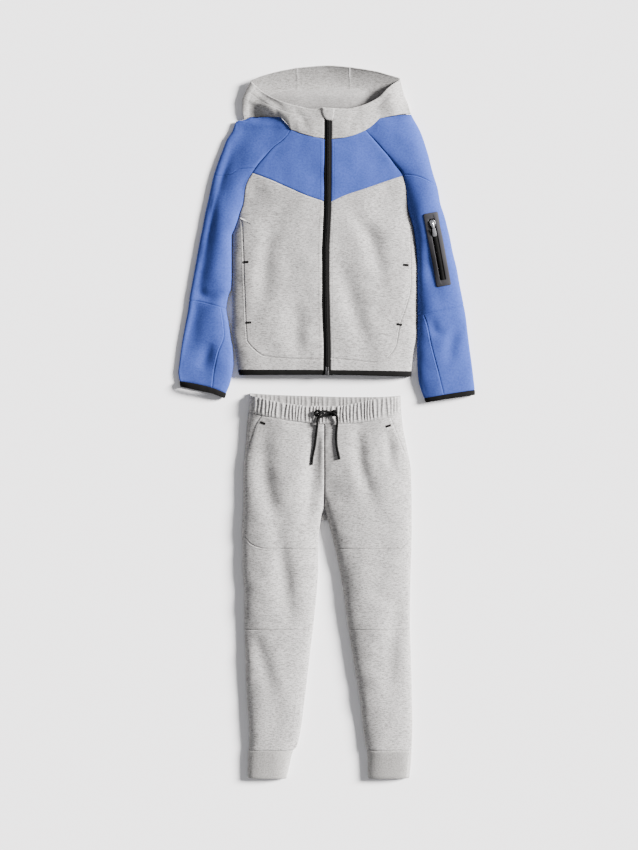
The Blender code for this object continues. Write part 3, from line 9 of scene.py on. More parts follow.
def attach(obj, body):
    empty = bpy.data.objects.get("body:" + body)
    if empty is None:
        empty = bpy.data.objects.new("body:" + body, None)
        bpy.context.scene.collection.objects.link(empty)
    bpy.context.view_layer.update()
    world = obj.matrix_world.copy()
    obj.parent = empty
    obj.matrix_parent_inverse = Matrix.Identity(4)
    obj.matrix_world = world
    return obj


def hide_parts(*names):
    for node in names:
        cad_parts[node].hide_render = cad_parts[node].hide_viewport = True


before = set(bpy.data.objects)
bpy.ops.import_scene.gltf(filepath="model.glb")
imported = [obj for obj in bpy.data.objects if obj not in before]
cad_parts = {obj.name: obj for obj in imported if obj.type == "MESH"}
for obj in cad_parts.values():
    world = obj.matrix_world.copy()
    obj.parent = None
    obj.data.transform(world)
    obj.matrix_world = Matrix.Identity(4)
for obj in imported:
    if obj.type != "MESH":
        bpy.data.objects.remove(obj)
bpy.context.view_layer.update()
garment = "garment"
mm = 0.001


def linear(code):
    values = [int(code[k:k + 2], 16) / 255 for k in (1, 3, 5)]
    return tuple(v / 12.92 if v <= 0.04045 else ((v + 0.055) / 1.055) ** 2.4 for v in values)


# Camera straight above, as far off as the photo's long lens.
view = {"centre": (-0.0156, -0.0055), "height": 6.0, "span": 1.7425, "sensor": 36.0}
cameraData = bpy.data.cameras.new("camera")
cameraData.sensor_width = view["sensor"]
cameraData.lens = view["sensor"] * (view["height"] - 0.02) / view["span"]
camera = bpy.data.objects.new("camera", cameraData)
camera.location = (*view["centre"], view["height"])
bpy.context.scene.collection.objects.link(camera)
bpy.context.scene.camera = camera

cloth = 2.0  # thickness of the bonded jersey
rib = 2.4
binding = 2.8
sideSeam = 6.5  # height at which front and back meet along a folded edge
underReach = 8.0  # how far in from a folded edge the back turns up
gradientStep = 0.3
originShift = (-0.2, -1.4)  # from the tables' centre to the centre of the whole set


def smooth(xs, values, at):
    xs = np.asarray(xs, float)
    values = np.asarray(values, float)
    if xs[0] > xs[-1]:
        xs, values = xs[::-1], values[::-1]
    steps = np.diff(xs)
    slopes = np.diff(values) / steps
    tangents = np.zeros(len(xs))
    tangents[0], tangents[-1] = slopes[0], slopes[-1]
    same = slopes[:-1] * slopes[1:] > 0
    first = 2 * steps[1:] + steps[:-1]
    second = steps[1:] + 2 * steps[:-1]
    with np.errstate(divide="ignore", invalid="ignore"):
        mean = (first + second) / (first / slopes[:-1] + second / slopes[1:])
    tangents[1:-1] = np.where(same, mean, 0.0)
    at = np.clip(np.asarray(at, float), xs[0], xs[-1])
    i = np.clip(np.searchsorted(xs, at, side="right") - 1, 0, len(steps) - 1)
    t = (at - xs[i]) / steps[i]
    return (
        values[i] * (1 + 2 * t) * (1 - t) ** 2
        + tangents[i] * steps[i] * t * (1 - t) ** 2
        + values[i + 1] * t * t * (3 - 2 * t)
        - tangents[i + 1] * steps[i] * t * t * (1 - t)
    )


def column(rows, index, at):
    return smooth([row[0] for row in rows], [row[index] for row in rows], at)


def even(count):
    return np.linspace(0.0, 1.0, count + 1)


def along(points, stations):
    points = np.asarray(points, float)
    run = np.concatenate([[0], np.cumsum(np.linalg.norm(np.diff(points, axis=0), axis=1))])
    at = np.asarray(stations) * run[-1]
    return np.column_stack([smooth(run, points[:, k], at) for k in range(points.shape[1])])


def chain(*lines):
    return np.concatenate([lines[0]] + [line[1:] for line in lines[1:]])


def foldDepth(folds, x, y):
    total = np.zeros_like(x)
    for start, middle, end, width, depth in folds:
        t = even(40)
        line = along((start, middle, end), t)
        gap = np.hypot(x[..., None] - line[:, 0], y[..., None] - line[:, 1])
        nearest = gap.argmin(axis=-1)
        taper = np.sin(np.pi * (0.06 + 0.88 * t[nearest]))
        total += depth * taper * np.exp(-((gap.min(axis=-1) / width) ** 2))
    return total


def rise(t, valley, power):
    t = np.clip(t, 0, 1)
    return (1 - valley) * np.sqrt(1 - (1 - t) ** power) + valley * (1 - (1 - t) ** 2)


def underTurn(distance):
    t = np.clip(distance / underReach, 0, 1)
    return 1 - np.sqrt(1 - (1 - t) ** 2)


# Top of each shoulder: x, y, height on the front, height on the back.
leftShoulderTop = (
    (-184.5, 620.5, 6.5, 6.5), (-168, 623, 7.5, 5.5), (-154, 629, 10, 3), (-126, 629.5, 15, 0),
    (-95.5, 628.5, 21, 0), (-85, 618, 24, 0), (-73, 601.5, 27, 0),
)
rightShoulderTop = (
    (78, 599, 27, 0), (93.5, 610, 24, 0), (108.5, 625, 21, 0), (134.5, 630.5, 15, 0),
    (159, 634, 10, 3), (174, 633.5, 6.5, 6.5),
)
shoulderTurn = 24.0


class Tube:

    def __init__(self, outline, crown, power, edges=(None, None), folds=(), top=None):
        self.outline = outline
        self.crown = crown
        self.power = power
        self.edges = edges
        self.folds = folds
        self.top = top

    def edgeX(self, which, y):
        return column(self.outline, 1 + which, y)

    def x(self, s, y):
        first = self.edgeX(0, y)
        return first + s * (self.edgeX(1, y) - first)

    def share(self, x, y):
        first = self.edgeX(0, y)
        return (x - first) / (self.edgeX(1, y) - first)

    def edgeHeight(self, which, face, y):
        table = self.edges[which]
        if table is None:
            return np.full_like(np.asarray(y, float), sideSeam)
        return column(table, 1 + face, y)

    def valley(self, which, y):
        return np.clip((self.edgeHeight(which, 0, y) - self.edgeHeight(which, 1, y)) / 12, 0, 1)

    def topDrop(self, x, y):
        return column(self.top, 1, x) - y

    def front(self, s, y):
        x = self.x(s, y)
        crown = column(self.crown, 1, y)
        halves = []
        for which, t in ((0, 2 * s), (1, 2 * (1 - s))):
            edge = self.edgeHeight(which, 0, y)
            halves.append(edge + (crown - edge) * rise(t, self.valley(which, y), self.power))
        z = np.where(s < 0.5, halves[0], halves[1])
        if self.top:
            low = column(self.top, 2, x)
            openTop = np.clip((low - column(self.top, 3, x)) / 12, 0, 1)
            t = np.clip(self.topDrop(x, y) / shoulderTurn, 0, 1)
            z = np.where(t < 1, low + (z - low) * rise(t, openTop, 2.0), z)
        return z

    def back(self, s, y):
        x = self.x(s, y)
        width = np.abs(self.edgeX(1, y) - self.edgeX(0, y))
        z = self.edgeHeight(0, 1, y) * underTurn(s * width)
        z = np.maximum(z, self.edgeHeight(1, 1, y) * underTurn((1 - s) * width))
        if self.top:
            z = np.maximum(z, column(self.top, 3, x) * underTurn(self.topDrop(x, y)))
        return z

    def height(self, face, s, y):
        return self.back(s, y) if face else self.front(s, y)

    def point(self, face, s, y):
        return np.stack([self.x(s, y), y, self.height(face, s, y)], axis=-1)

    def outward(self, face, s, y):
        x = self.x(s, y)
        step = gradientStep
        lows = np.clip(self.share(x - step, y), 0, 1), np.clip(self.share(x + step, y), 0, 1)
        run = self.x(lows[1], y) - self.x(lows[0], y)
        slopeX = (self.height(face, lows[1], y) - self.height(face, lows[0], y)) / run
        below = np.clip(self.share(x, y - step), 0, 1)
        above = np.clip(self.share(x, y + step), 0, 1)
        slopeY = (self.height(face, above, y + step) - self.height(face, below, y - step)) / (2 * step)
        normal = np.stack([-slopeX, -slopeY, np.ones_like(x)], axis=-1)
        normal /= np.linalg.norm(normal, axis=-1, keepdims=True)
        if face:
            normal = -normal
        side = np.sign(self.edgeX(1, y) - self.edgeX(0, y))
        for which, sign in ((0, -1), (1, 1)):
            lean = (self.edgeX(which, y + 1) - self.edgeX(which, y - 1)) / 2
            level = np.stack([sign * side, -sign * side * lean, np.zeros_like(x)], axis=-1)
            level /= np.linalg.norm(level, axis=-1, keepdims=True)
            folded = (1 - self.valley(which, y)) * (np.abs(s - which) < 1e-6)
            normal = normal * (1 - folded[..., None]) + level * folded[..., None]
        if self.top:
            lean = (column(self.top, 1, x + 1) - column(self.top, 1, x - 1)) / 2
            level = np.stack([-lean, np.ones_like(x), np.zeros_like(x)], axis=-1)
            level /= np.linalg.norm(level, axis=-1, keepdims=True)
            openTop = np.clip((column(self.top, 2, x) - column(self.top, 3, x)) / 12, 0, 1)
            folded = (1 - openTop) * (np.abs(self.topDrop(x, y)) < 0.7)
            normal = normal * (1 - folded[..., None]) + level * folded[..., None]
        return normal / np.linalg.norm(normal, axis=-1, keepdims=True)

    def line(self, points, stations, snap=(True, True)):
        found = along(points, stations)
        found[:, 0] = np.clip(self.share(found[:, 0], found[:, 1]), 0, 1)
        for end, wanted in ((0, snap[0]), (-1, snap[1])):
            if wanted:
                found[end, 0] = round(found[end, 0])
        return found

    def edge(self, s, start, end, stations):
        y = start + (end - start) * np.asarray(stations)
        return np.column_stack([np.full_like(y, s), y])

# Seams of the torso, each from the outer edge towards the zip or from the neck down.
zipLine = (
    (646, 3), (613, 3), (449, 2), (399.5, 0), (350.5, -2), (301.5, -2), (227.5, -1), (137.5, 1), (93, 1)
)
zipHalf = 7.5
torsoSeams = {
    "left": {
        "edge": 0.0, "zipSide": -1, "yokeEnd": 512.5, "zipAt": {"neck": 580.5, "yoke": 454, "hem": 130},
        "neck": ((-73, 601.5), (-48, 592.5)),
        "yoke": ((-151.5, 512.5), (-114, 498), (-77, 481.5), (-40, 465.5)),
        "pocketTop": 421,
        "pocket": ((-176.5, 420), (-172.5, 404.5), (-170, 331.5), (-165.5, 206.5), (-163.5, 169)),
        "hem": ((-163.5, 169), (-152.5, 155), (-128, 137.5), (-75, 132)),
    },
    "right": {
        "edge": 1.0, "zipSide": 1, "yokeEnd": 506.5, "zipAt": {"neck": 580, "yoke": 453, "hem": 133},
        "neck": ((78, 599), (53.5, 589)),
        "yoke": ((155.8, 506.5), (130, 498), (83, 481.5), (36, 465.5)),
        "pocketTop": 422,
        "pocket": (
            (168, 421), (171.5, 404), (173, 330), (173, 283), (161, 231.5), (150.5, 202), (143, 158.5)
        ),
        "hem": ((143, 158.5), (132, 141.5), (119, 130), (101, 124), (48, 129)),
    },
}
hemTop = ((0.0, 109.5), (0.5, 108.8), (1.0, 106.3))
hemBottom = ((0.0, 98.4), (0.5, 99.0), (1.0, 95.2))
backYokeSeam = ((-151.5, 512.5), (-60, 500), (2, 497), (60, 500), (153.5, 512.5))


def zipX(y, side):
    return column(zipLine, 1, y) + side * zipHalf


# Largest folds: start, middle and end of each, its half width and its depth (a ridge is positive).
torsoFolds = (
    ((-112, 410), (-121, 355), (-133, 245), 18, -2.4),
    ((-62, 245), (-62, 190), (-60, 134), 18, -1.8),
    ((52, 440), (95, 363), (114, 280), 18, -2.8),
    ((25, 350), (44, 272), (85, 145), 19.5, -2.2),
)
leftSleeveFolds = (
    ((-216, 480), (-222, 390), (-232, 280), 18, 1.8),
    ((-272, 268), (-242, 258), (-206, 268), 12, -2),
    ((-262, 110), (-250, 130), (-236, 165), 13.5, -1.8),
)
rightSleeveFolds = (
    ((205, 380), (212, 320), (226, 262), 15, -1.8),
    ((284, 205), (262, 180), (250, 120), 15, -2),
    ((215, 215), (222, 190), (246, 180), 12, -1.5),
)
leftLegFolds = (
    ((-128, -5), (-128, -100), (-104, -205), 21, -3.2),
    ((-106, -200), (-88, -300), (-76, -404), 18, -2.4),
    ((-24, -12), (-28, -96), (-40, -219), 15, -2.6),
    ((-157, -404), (-132, -486), (-105, -568), 18, -2),
)
rightLegFolds = (
    ((64, -8), (68, -76), (93, -158), 15, -2.8),
    ((124, -12), (130, -50), (134, -92), 12, -2.2),
    ((150, -330), (140, -430), (128, -560), 19.5, -1.8),
)

# Edges that join another piece instead of folding: y, height on the front, height on the back.
raglanEdge = ((634, 21, 0), (601.5, 27, 0), (512.5, 22, 0), (449, 14, 1), (405, 7.5, 5.5), (383.5, 6.5, 6.5))
crotchEdge = ((24, 27.5, 0), (-76, 22, 0), (-140, 14, 1), (-180, 7, 6), (-190, 6.5, 6.5))

# Heights: y and the height of the middle of the front.
torsoCrown = ((601.5, 32), (512.5, 31), (383.5, 28), (170, 25), (93, 21))
sleeveCrown = ((634, 27), (512.5, 28), (383.5, 26), (252, 24), (121, 20), (38, 16))
legCrown = ((24, 28), (-100, 28), (-256, 27), (-420, 26), (-568, 23), (-664, 20), (-733, 18))
waistCrown = ((64, 27.5), (-6, 28))

# Outlines: y, then the x of the two edges. A sleeve or a leg lists its outer edge first.
torsoOutline = (
    (601.5, -73, 78), (580, -89, 97.5), (564, -109.5, 111.5), (547.5, -124, 126), (531, -138.5, 138.5),
    (512.5, -151.5, 153.5), (498, -161, 159), (481.5, -167, 163), (449, -171.5, 165.5),
    (432.5, -177.5, 168), (416, -182, 173), (399.5, -187.5, 177.5), (383.5, -193, 180),
    (350.5, -193.5, 183.5), (318, -193.5, 185.5), (186.5, -193.5, 185.5), (170, -191, 183.5),
    (154, -188, 180), (121, -183.5, 175.5), (93, -177.5, 173),
)
leftSleeveOutline = (
    (629, -169, -96), (621, -184.5, -89), (613, -188.5, -82), (601.5, -192.5, -74), (580, -206, -90.1),
    (564, -212, -110.6), (547.5, -218.5, -125.2), (531, -224.5, -139.7), (512.5, -230.5, -152.6),
    (498, -234.5, -161.6), (481.5, -238, -167.6), (449, -245, -172.1), (432.5, -249, -178.1),
    (416, -252, -182.6), (399.5, -255, -188.1), (383.5, -258.5, -194.3), (350.5, -264.5, -194.3),
    (301.5, -273.5, -194.3), (277, -278, -196), (260.5, -281, -202), (235.5, -284, -206),
    (203, -290, -201), (170, -296, -196), (154, -298.5, -193), (121, -302.5, -191.5),
    (104.5, -304.5, -193.5), (80, -300.5, -198.5), (63.5, -298.5, -205), (45, -297, -212),
)
rightSleeveOutline = (
    (634, 174, 117), (625, 178.5, 109), (613, 185.5, 95.5), (599.5, 192.5, 81), (580, 200, 98.7),
    (564, 205, 112.7), (547.5, 210, 127.2), (531, 214, 139.7), (512.5, 219, 154.7), (498, 223.5, 159.6),
    (481.5, 228.5, 163.6), (449, 234.5, 166.1), (432.5, 240, 168.6), (416, 245, 173.6),
    (399.5, 249, 178.1), (383.5, 253, 180.8), (350.5, 259.5, 184.5), (318, 267.5, 186.5),
    (285, 273.5, 186.5), (252, 280, 186.5), (219.5, 286, 186.5), (186.5, 290, 186.5), (154, 294, 186),
    (121, 298.5, 186.5), (88, 302.5, 189), (67.5, 304.5, 194.5), (53, 304.5, 200), (38, 304.5, 207),
)
leftLegOutline = (
    (24, -160, -5.2), (-2, -163, -5.2), (-51, -167, -5.2), (-100.5, -171, -5), (-174, -171.5, -5),
    (-186.5, -172.5, -9), (-199, -173, -11.5), (-223.5, -174, -15), (-256, -173, -17),
    (-297, -173, -17), (-346.5, -169, -20), (-420, -169, -27.5), (-469.5, -167, -33.5),
    (-518.5, -166, -39), (-568, -164, -45), (-617, -160, -51), (-650, -159, -57), (-664, -159.5, -61),
    (-673, -161, -68), (-699, -161.5, -75), (-731, -162, -82),
)
rightLegOutline = (
    (24, 153.5, -4), (-2, 156, -4), (-51, 165, -4), (-100.5, 173.5, -4), (-174, 175, -4),
    (-186.5, 175, 0), (-199, 175, 3), (-223.5, 175, 9), (-256, 174.5, 17), (-297, 173, 25.5),
    (-346.5, 172, 34.5), (-420, 171.5, 44), (-469.5, 173, 52), (-518.5, 174.5, 60), (-568, 175.5, 68),
    (-617, 176.5, 74), (-650, 176, 78), (-664, 175.5, 80), (-673, 175, 82.5), (-699, 173, 84.5),
    (-733, 170, 85),
)
waistOutline = ((64, -158, 152.5), (40, -158, 153), (24, -160, 153.5), (-6, -163.5, 156.5))

tubes = {
    "torso": Tube(torsoOutline, torsoCrown, 4.5, (raglanEdge, raglanEdge), torsoFolds),
    "sleeve_left": Tube(
        leftSleeveOutline, sleeveCrown, 2.5, (None, raglanEdge), leftSleeveFolds, leftShoulderTop
    ),
    "sleeve_right": Tube(
        rightSleeveOutline, sleeveCrown, 2.5, (None, raglanEdge), rightSleeveFolds, rightShoulderTop
    ),
    "leg_left": Tube(leftLegOutline, legCrown, 2.6, (None, crotchEdge), leftLegFolds),
    "leg_right": Tube(rightLegOutline, legCrown, 2.6, (None, crotchEdge), rightLegFolds),
    "waist": Tube(waistOutline, waistCrown, 6.0),
}
front, back = 0, 1
for tube in tubes.values():
    tube.lean = 0.0
tubes["sleeve_left"].lean = 1.0


def addNode(tree, kind, inputs=(), **settings):
    node = tree.nodes.new(kind)
    for key, value in settings.items():
        setattr(node, key, value)
    for key, value in dict(inputs).items():
        if hasattr(value, "is_linked"):
            tree.links.new(value, node.inputs[key])
        else:
            node.inputs[key].default_value = value
    return node


def newMaterial(name, colour, roughness, metallic=0.0, sheen=0.0):
    material = bpy.data.materials.new(name)
    material.use_nodes = True
    shader = material.node_tree.nodes["Principled BSDF"]
    shader.inputs["Base Color"].default_value = (*linear(colour), 1)
    shader.inputs["Roughness"].default_value = roughness
    shader.inputs["Metallic"].default_value = metallic
    shader.inputs["Sheen Weight"].default_value = sheen
    shader.inputs["Sheen Roughness"].default_value = 0.6
    shader.inputs["Specular IOR Level"].default_value = 0.5 if metallic else 0.12
    return material, shader, material.node_tree


def perMetre(size):
    return 1 / (size * mm)


# Object coordinates scaled so that one unit is width by height in millimetres.
def stretched(tree, coordinates, width, height, depth=None):
    scale = (perMetre(width), perMetre(height), perMetre(depth or width))
    return addNode(tree, "ShaderNodeMapping", {"Vector": coordinates, "Scale": scale}).outputs["Vector"]


def knitMaterial(name, colour, dark, light, streak, roughness=0.95, sheen=0.08, bump=0.3):
    # Double-knit jersey: fibres of three shades in short rows, and a fine surface of stitches.
    material, shader, tree = newMaterial(name, colour, roughness, sheen=sheen)
    place = addNode(tree, "ShaderNodeTexCoord").outputs["Object"]
    rows = addNode(tree, "ShaderNodeTexNoise", {
        "Vector": stretched(tree, place, streak[0], streak[1]), "Scale": 1.0, "Detail": 3.0,
        "Roughness": 0.62,
    })
    fibres = addNode(tree, "ShaderNodeTexNoise", {
        "Vector": stretched(tree, place, streak[0] * 0.28, streak[1] * 0.34), "Scale": 1.0, "Detail": 2.0,
    })
    both = addNode(
        tree, "ShaderNodeMath", {0: rows.outputs["Fac"], 1: fibres.outputs["Fac"]}, operation="ADD"
    )
    ramp = addNode(tree, "ShaderNodeValToRGB", {"Fac": addNode(
        tree, "ShaderNodeMapRange", {"Value": both.outputs[0], "From Min": 0.84, "From Max": 1.16},
    ).outputs["Result"]})
    stops = ramp.color_ramp.elements
    stops[0].color = (*linear(dark), 1)
    stops[1].color = (*linear(light), 1)
    middle = stops.new(0.42)
    middle.color = (*linear(colour), 1)
    tree.links.new(ramp.outputs["Color"], shader.inputs["Base Color"])
    grain = addNode(tree, "ShaderNodeTexNoise", {
        "Vector": stretched(tree, place, 1.1, 0.8), "Scale": 1.0, "Detail": 2.0,
    })
    relief = addNode(tree, "ShaderNodeBump", {
        "Strength": bump, "Distance": 0.25 * mm, "Height": grain.outputs["Fac"],
    })
    tree.links.new(relief.outputs["Normal"], shader.inputs["Normal"])
    return material


def plainMaterial(name, colour, roughness, metallic=0.0, grain=0.0, sheen=0.0):
    material, shader, tree = newMaterial(name, colour, roughness, metallic, sheen)
    if grain:
        place = addNode(tree, "ShaderNodeTexCoord").outputs["Object"]
        noise = addNode(tree, "ShaderNodeTexNoise", {
            "Vector": stretched(tree, place, grain, grain), "Scale": 1.0, "Detail": 3.0,
        })
        relief = addNode(tree, "ShaderNodeBump", {
            "Strength": 0.35, "Distance": 0.2 * mm, "Height": noise.outputs["Fac"],
        })
        tree.links.new(relief.outputs["Normal"], shader.inputs["Normal"])
    return material


materials = {
    "grey": knitMaterial("grey melange jersey", "#959392", "#6a6867", "#b2b0af", (7.0, 1.5)),
    "hood": knitMaterial("hood melange jersey", "#969492", "#716f6d", "#aeacab", (6.0, 1.5)),
    # Darker grey for the inside of the jersey; on the gusset the same finish is painted shade in the crotch.
    "inner": knitMaterial("inside of the jersey and painted crotch shade", "#8c8a89", "#7a7877", "#9d9b9a", (5.0, 1.6)),
    "rib": knitMaterial("melange rib knit", "#969492", "#82807e", "#aaa8a6", (3.0, 2.4)),
    "blue": knitMaterial("blue jersey", "#354688", "#304081", "#3a4c91", (4.0, 3.0), sheen=0.0),
    "binding": plainMaterial("elastic binding", "#090808", 0.85, grain=0.9),
    "cord": plainMaterial("braided cord", "#0b0b0b", 0.85, grain=0.7),
    "tape": plainMaterial("zip tape", "#080707", 0.9, grain=0.6),
    "coil": plainMaterial("zip coil", "#090909", 0.5),
    "film": plainMaterial("bonded film", "#2c2b2e", 0.6, grain=0.5),
    "steel": plainMaterial("polished zinc", "#d4d4d8", 0.22, metallic=1.0),
    "tab": plainMaterial("coated pull tab", "#77777b", 0.45, metallic=0.6),
    "blackThread": plainMaterial("black thread", "#0b0a0a", 0.7),
    "greyThread": plainMaterial("grey thread", "#979593", 0.8),
    "blueThread": plainMaterial("blue thread", "#354788", 0.8),
    "darkThread": plainMaterial("darker thread", "#5d5b5a", 0.8),
    "pin": plainMaterial("dark plated zinc", "#4c4b4d", 0.35, metallic=0.9),
    "floor": plainMaterial("studio paper", "#fdfcfe", 1.0),
}
print("materials made")


def placed(points):
    return (np.asarray(points, float) + [*originShift, 0.0]) * mm


def addMesh(name, points, faces, material, node=None, smoothShade=True):
    mesh = bpy.data.meshes.new(name)
    mesh.from_pydata(placed(points).tolist(), [], faces)
    mesh.update()
    if smoothShade:
        mesh.shade_smooth()
    return finishPiece(name, mesh, material, node)


def finishPiece(name, data, material, node=None, body=garment):
    data.materials.clear()
    data.materials.append(materials[material])
    obj = bpy.data.objects.new(name, data)
    bpy.context.scene.collection.objects.link(obj)
    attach(obj, body)
    if node:
        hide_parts(*([node] if isinstance(node, str) else node))
    return obj


def gridFaces(rows, columns, closed=False, start=0, flip=False):
    i, j = np.meshgrid(np.arange(rows - 1), np.arange(columns if closed else columns - 1), indexing="ij")
    a = i * columns + j
    b = i * columns + (j + 1) % columns
    quads = np.stack([a, a + columns, b + columns, b], axis=-1).reshape(-1, 4) + start
    return quads[:, ::-1] if flip else quads


def wallFaces(rows, columns, closed=False, up=True):
    layer = rows * columns
    faces = [gridFaces(rows, columns, closed, 0, not up), gridFaces(rows, columns, closed, layer, up)]
    last = columns if closed else columns - 1
    j = np.arange(last)
    k = (j + 1) % columns
    rims = [(j, k), (k + (rows - 1) * columns, j + (rows - 1) * columns)]
    if not closed:
        i = np.arange(rows - 1) * columns
        rims += [(i + columns, i), (i + columns - 1, i + 2 * columns - 1)]
    for a, b in rims:
        quad = np.stack([a, b, b + layer, a + layer], axis=-1)
        faces.append(quad if up else quad[:, ::-1])
    return np.concatenate(faces).tolist()


def wall(name, outer, inner, material, node, slot, closed=False, up=True, held="laid"):
    rows, columns = outer.shape[:2]
    points = np.concatenate([outer.reshape(-1, 3), inner.reshape(-1, 3)])
    faces = wallFaces(rows, columns, closed, up)
    return addMesh(name, points, faces, material, node)


seamOffsets = {
    "seam": (0, 0.5, 1.1, 1.9, 3.0),
    "fold": (0, 0.15, 0.5, 1.1, 2.0, 3.2, 4.8, 6.6),
    "free": (0, 0.6, 1.6),
}
grooveDepth = 0.85
grooveWidth = 1.5


# Stations from 0 to 1, close together beside seams and folded edges.
def spaced(length, step, start, end):
    first, last = np.array(seamOffsets[start]), np.array(seamOffsets[end])
    room = length - first[-1] - last[-1]
    if room < step:
        return near(length, first, last, step)
    count = max(2, round(room / step))
    middle = np.linspace(first[-1], length - last[-1], count + 1)
    return np.concatenate([first[:-1], middle, length - last[::-1][1:]]) / length


def near(length, first, last, step):
    scale = length / (first[-1] + last[-1] + step)
    middle = np.linspace(first[-1], first[-1] + step, 3)[1:-1]
    return np.concatenate([first, middle, first[-1] + step + last[-1] - last[::-1]]) * scale / length


waves = (
    (0.30, 118.0, 0.5, 0.3), (0.26, 87.0, 2.1, 1.1), (0.18, 66.0, 0.1, 2.7), (0.11, 48.0, 1.4, 4.0),
    (0.05, 33.0, 2.7, 5.2),
)


# Slow rise and fall of cloth that was pressed by hand.
def unevenness(x, y):
    total = np.zeros_like(x)
    for height, span, turn, start in waves:
        phase = 2 * np.pi * (x * math.cos(turn) + y * math.sin(turn)) / span + start
        drift = 1.3 * np.sin(2 * np.pi * (x * math.sin(turn) - y * math.cos(turn)) / (span * 2.7) + start)
        total += height * np.sin(phase + drift)
    return total


foldStrength = 2.6  # times the depths in the tables of folds
unevenStrength = 2.0  # times the heights of the waves


def relief(tube, x, y, s):
    fade = np.clip(np.minimum(s, 1 - s) / 0.07, 0, 1)
    fade = fade * fade * (3 - 2 * fade)
    lean = tube.lean * (1 - s) * (tube.front(s, y) - sideSeam) if tube.lean else 0.0
    return fade * (foldStrength * foldDepth(tube.folds, x, y) + unevenStrength * unevenness(x, y)) - lean


# Distance along the cloth of each point from the left, right, top and bottom border.
def borderGaps(points):
    across = np.linalg.norm(np.diff(points, axis=1), axis=-1)
    down = np.linalg.norm(np.diff(points, axis=0), axis=-1)
    left = np.pad(np.cumsum(across, axis=1), ((0, 0), (1, 0)))
    top = np.pad(np.cumsum(down, axis=0), ((1, 0), (0, 0)))
    return left, left[:, -1:] - left, top, top[-1:] - top


def grooves(points, kinds, depth=grooveDepth):
    total = np.zeros(points.shape[:2])
    for gap, kind in zip(borderGaps(points), kinds):
        if kind == "seam":
            total = np.minimum(total, -depth * np.exp(-((gap / grooveWidth) ** 2)))
            total = total + 0.16 * np.exp(-(((gap - 4.0) / 1.6) ** 2))
        elif kind == "free":
            total = np.minimum(total, -0.7 * np.exp(-((gap / 0.8) ** 2)))
    return total


def metric(tube, line):
    xy = np.column_stack([tube.x(line[:, 0], line[:, 1]), line[:, 1]])
    return np.concatenate([[0], np.cumsum(np.linalg.norm(np.diff(xy, axis=0), axis=1))])


def readLine(tube, line, stations):
    run = metric(tube, line)
    at = stations * run[-1]
    return np.column_stack([np.interp(at, run, line[:, 0]), np.interp(at, run, line[:, 1])])


# Stations moved so that each corner between joined lines falls on one.
def snapped(tube, parts, stations):
    lengths = [metric(tube, part)[-1] for part in parts]
    stations = np.array(stations)
    total = sum(lengths)
    at = 0.0
    for length in lengths[:-1]:
        at += length / total
        nearest = int(np.abs(stations[1:-1] - at).argmin()) + 1
        stations[nearest] = at
    return stations


def border(tube, parts, stations):
    return readLine(tube, chain(*parts), snapped(tube, parts, stations))


def parted(outer, inner, closed=False):
    shift = np.zeros_like(outer)
    borders = [(0, 1, 0), (-1, -2, 0)] if closed else [(0, 1, 0), (-1, -2, 0), (0, 1, 1), (-1, -2, 1)]
    for edge, inside, axis in borders:
        line = np.take(outer, edge, axis=axis)
        inward = np.take(outer, inside, axis=axis) - line
        tangent = np.gradient(line, axis=0)
        tangent /= np.linalg.norm(tangent, axis=1, keepdims=True) + 1e-9
        inward -= tangent * np.sum(inward * tangent, axis=1, keepdims=True)
        inward *= 0.06 / (np.linalg.norm(inward, axis=1, keepdims=True) + 1e-9)
        if axis:
            shift[:, edge] += inward
        else:
            shift[edge] += inward
    return outer + shift, inner + shift


def ruled(left, right, top, bottom, u, v):
    u, v = u[None, :, None], v[:, None, None]
    mixed = (1 - v) * top[None] + v * bottom[None] + (1 - u) * left[:, None] + u * right[:, None]
    return mixed - (1 - v) * ((1 - u) * top[0] + u * top[-1]) - v * ((1 - u) * bottom[0] + u * bottom[-1])


# A cut piece of cloth on a tube; kinds says what its left, right, top and bottom borders are.
def panel(piece):
    tube, face = tubes[piece["tube"]], piece.get("face", front)
    left, right, top, bottom = piece["borders"]
    step = piece.get("step", 2.6 if face == front else 7.0)
    kinds = piece["kinds"]
    down = max(sum(metric(tube, part)[-1] for part in side) for side in (left, right))
    over = max(sum(metric(tube, part)[-1] for part in side) for side in (top, bottom))
    v, u = spaced(down, step, kinds[2], kinds[3]), spaced(over, step, kinds[0], kinds[1])
    grid = ruled(
        border(tube, left, v), border(tube, right, v), border(tube, top, u), border(tube, bottom, u), u, v
    )
    s, y = np.clip(grid[..., 0], 0, 1), grid[..., 1]
    points, normals = tube.point(face, s, y), tube.outward(face, s, y)
    moved = grooves(points, kinds, piece.get("groove", grooveDepth))
    if face == front:
        moved = moved + relief(tube, points[..., 0], y, s) + piece.get("lift", 0.0)
    else:
        moved = np.minimum(moved, 0)
    outer = points + moved[..., None] * normals
    outer[..., 2] = np.maximum(outer[..., 2], 0.02)
    inner = outer - cloth * normals
    outer, inner = parted(outer, inner)
    return wall(
        piece["name"], outer, inner, piece["material"], piece["name_of_node"], piece["slot"],
        up=face == front
    )


def sewn(name, tube, face, left, right, top, bottom, material, slot, kinds, **more):
    return panel({
        "name": name + "_cloth", "name_of_node": name, "tube": tube, "face": face,
        "borders": (left, right, top, bottom), "material": material, "slot": slot, "kinds": kinds, **more,
    })


fine = even(120)


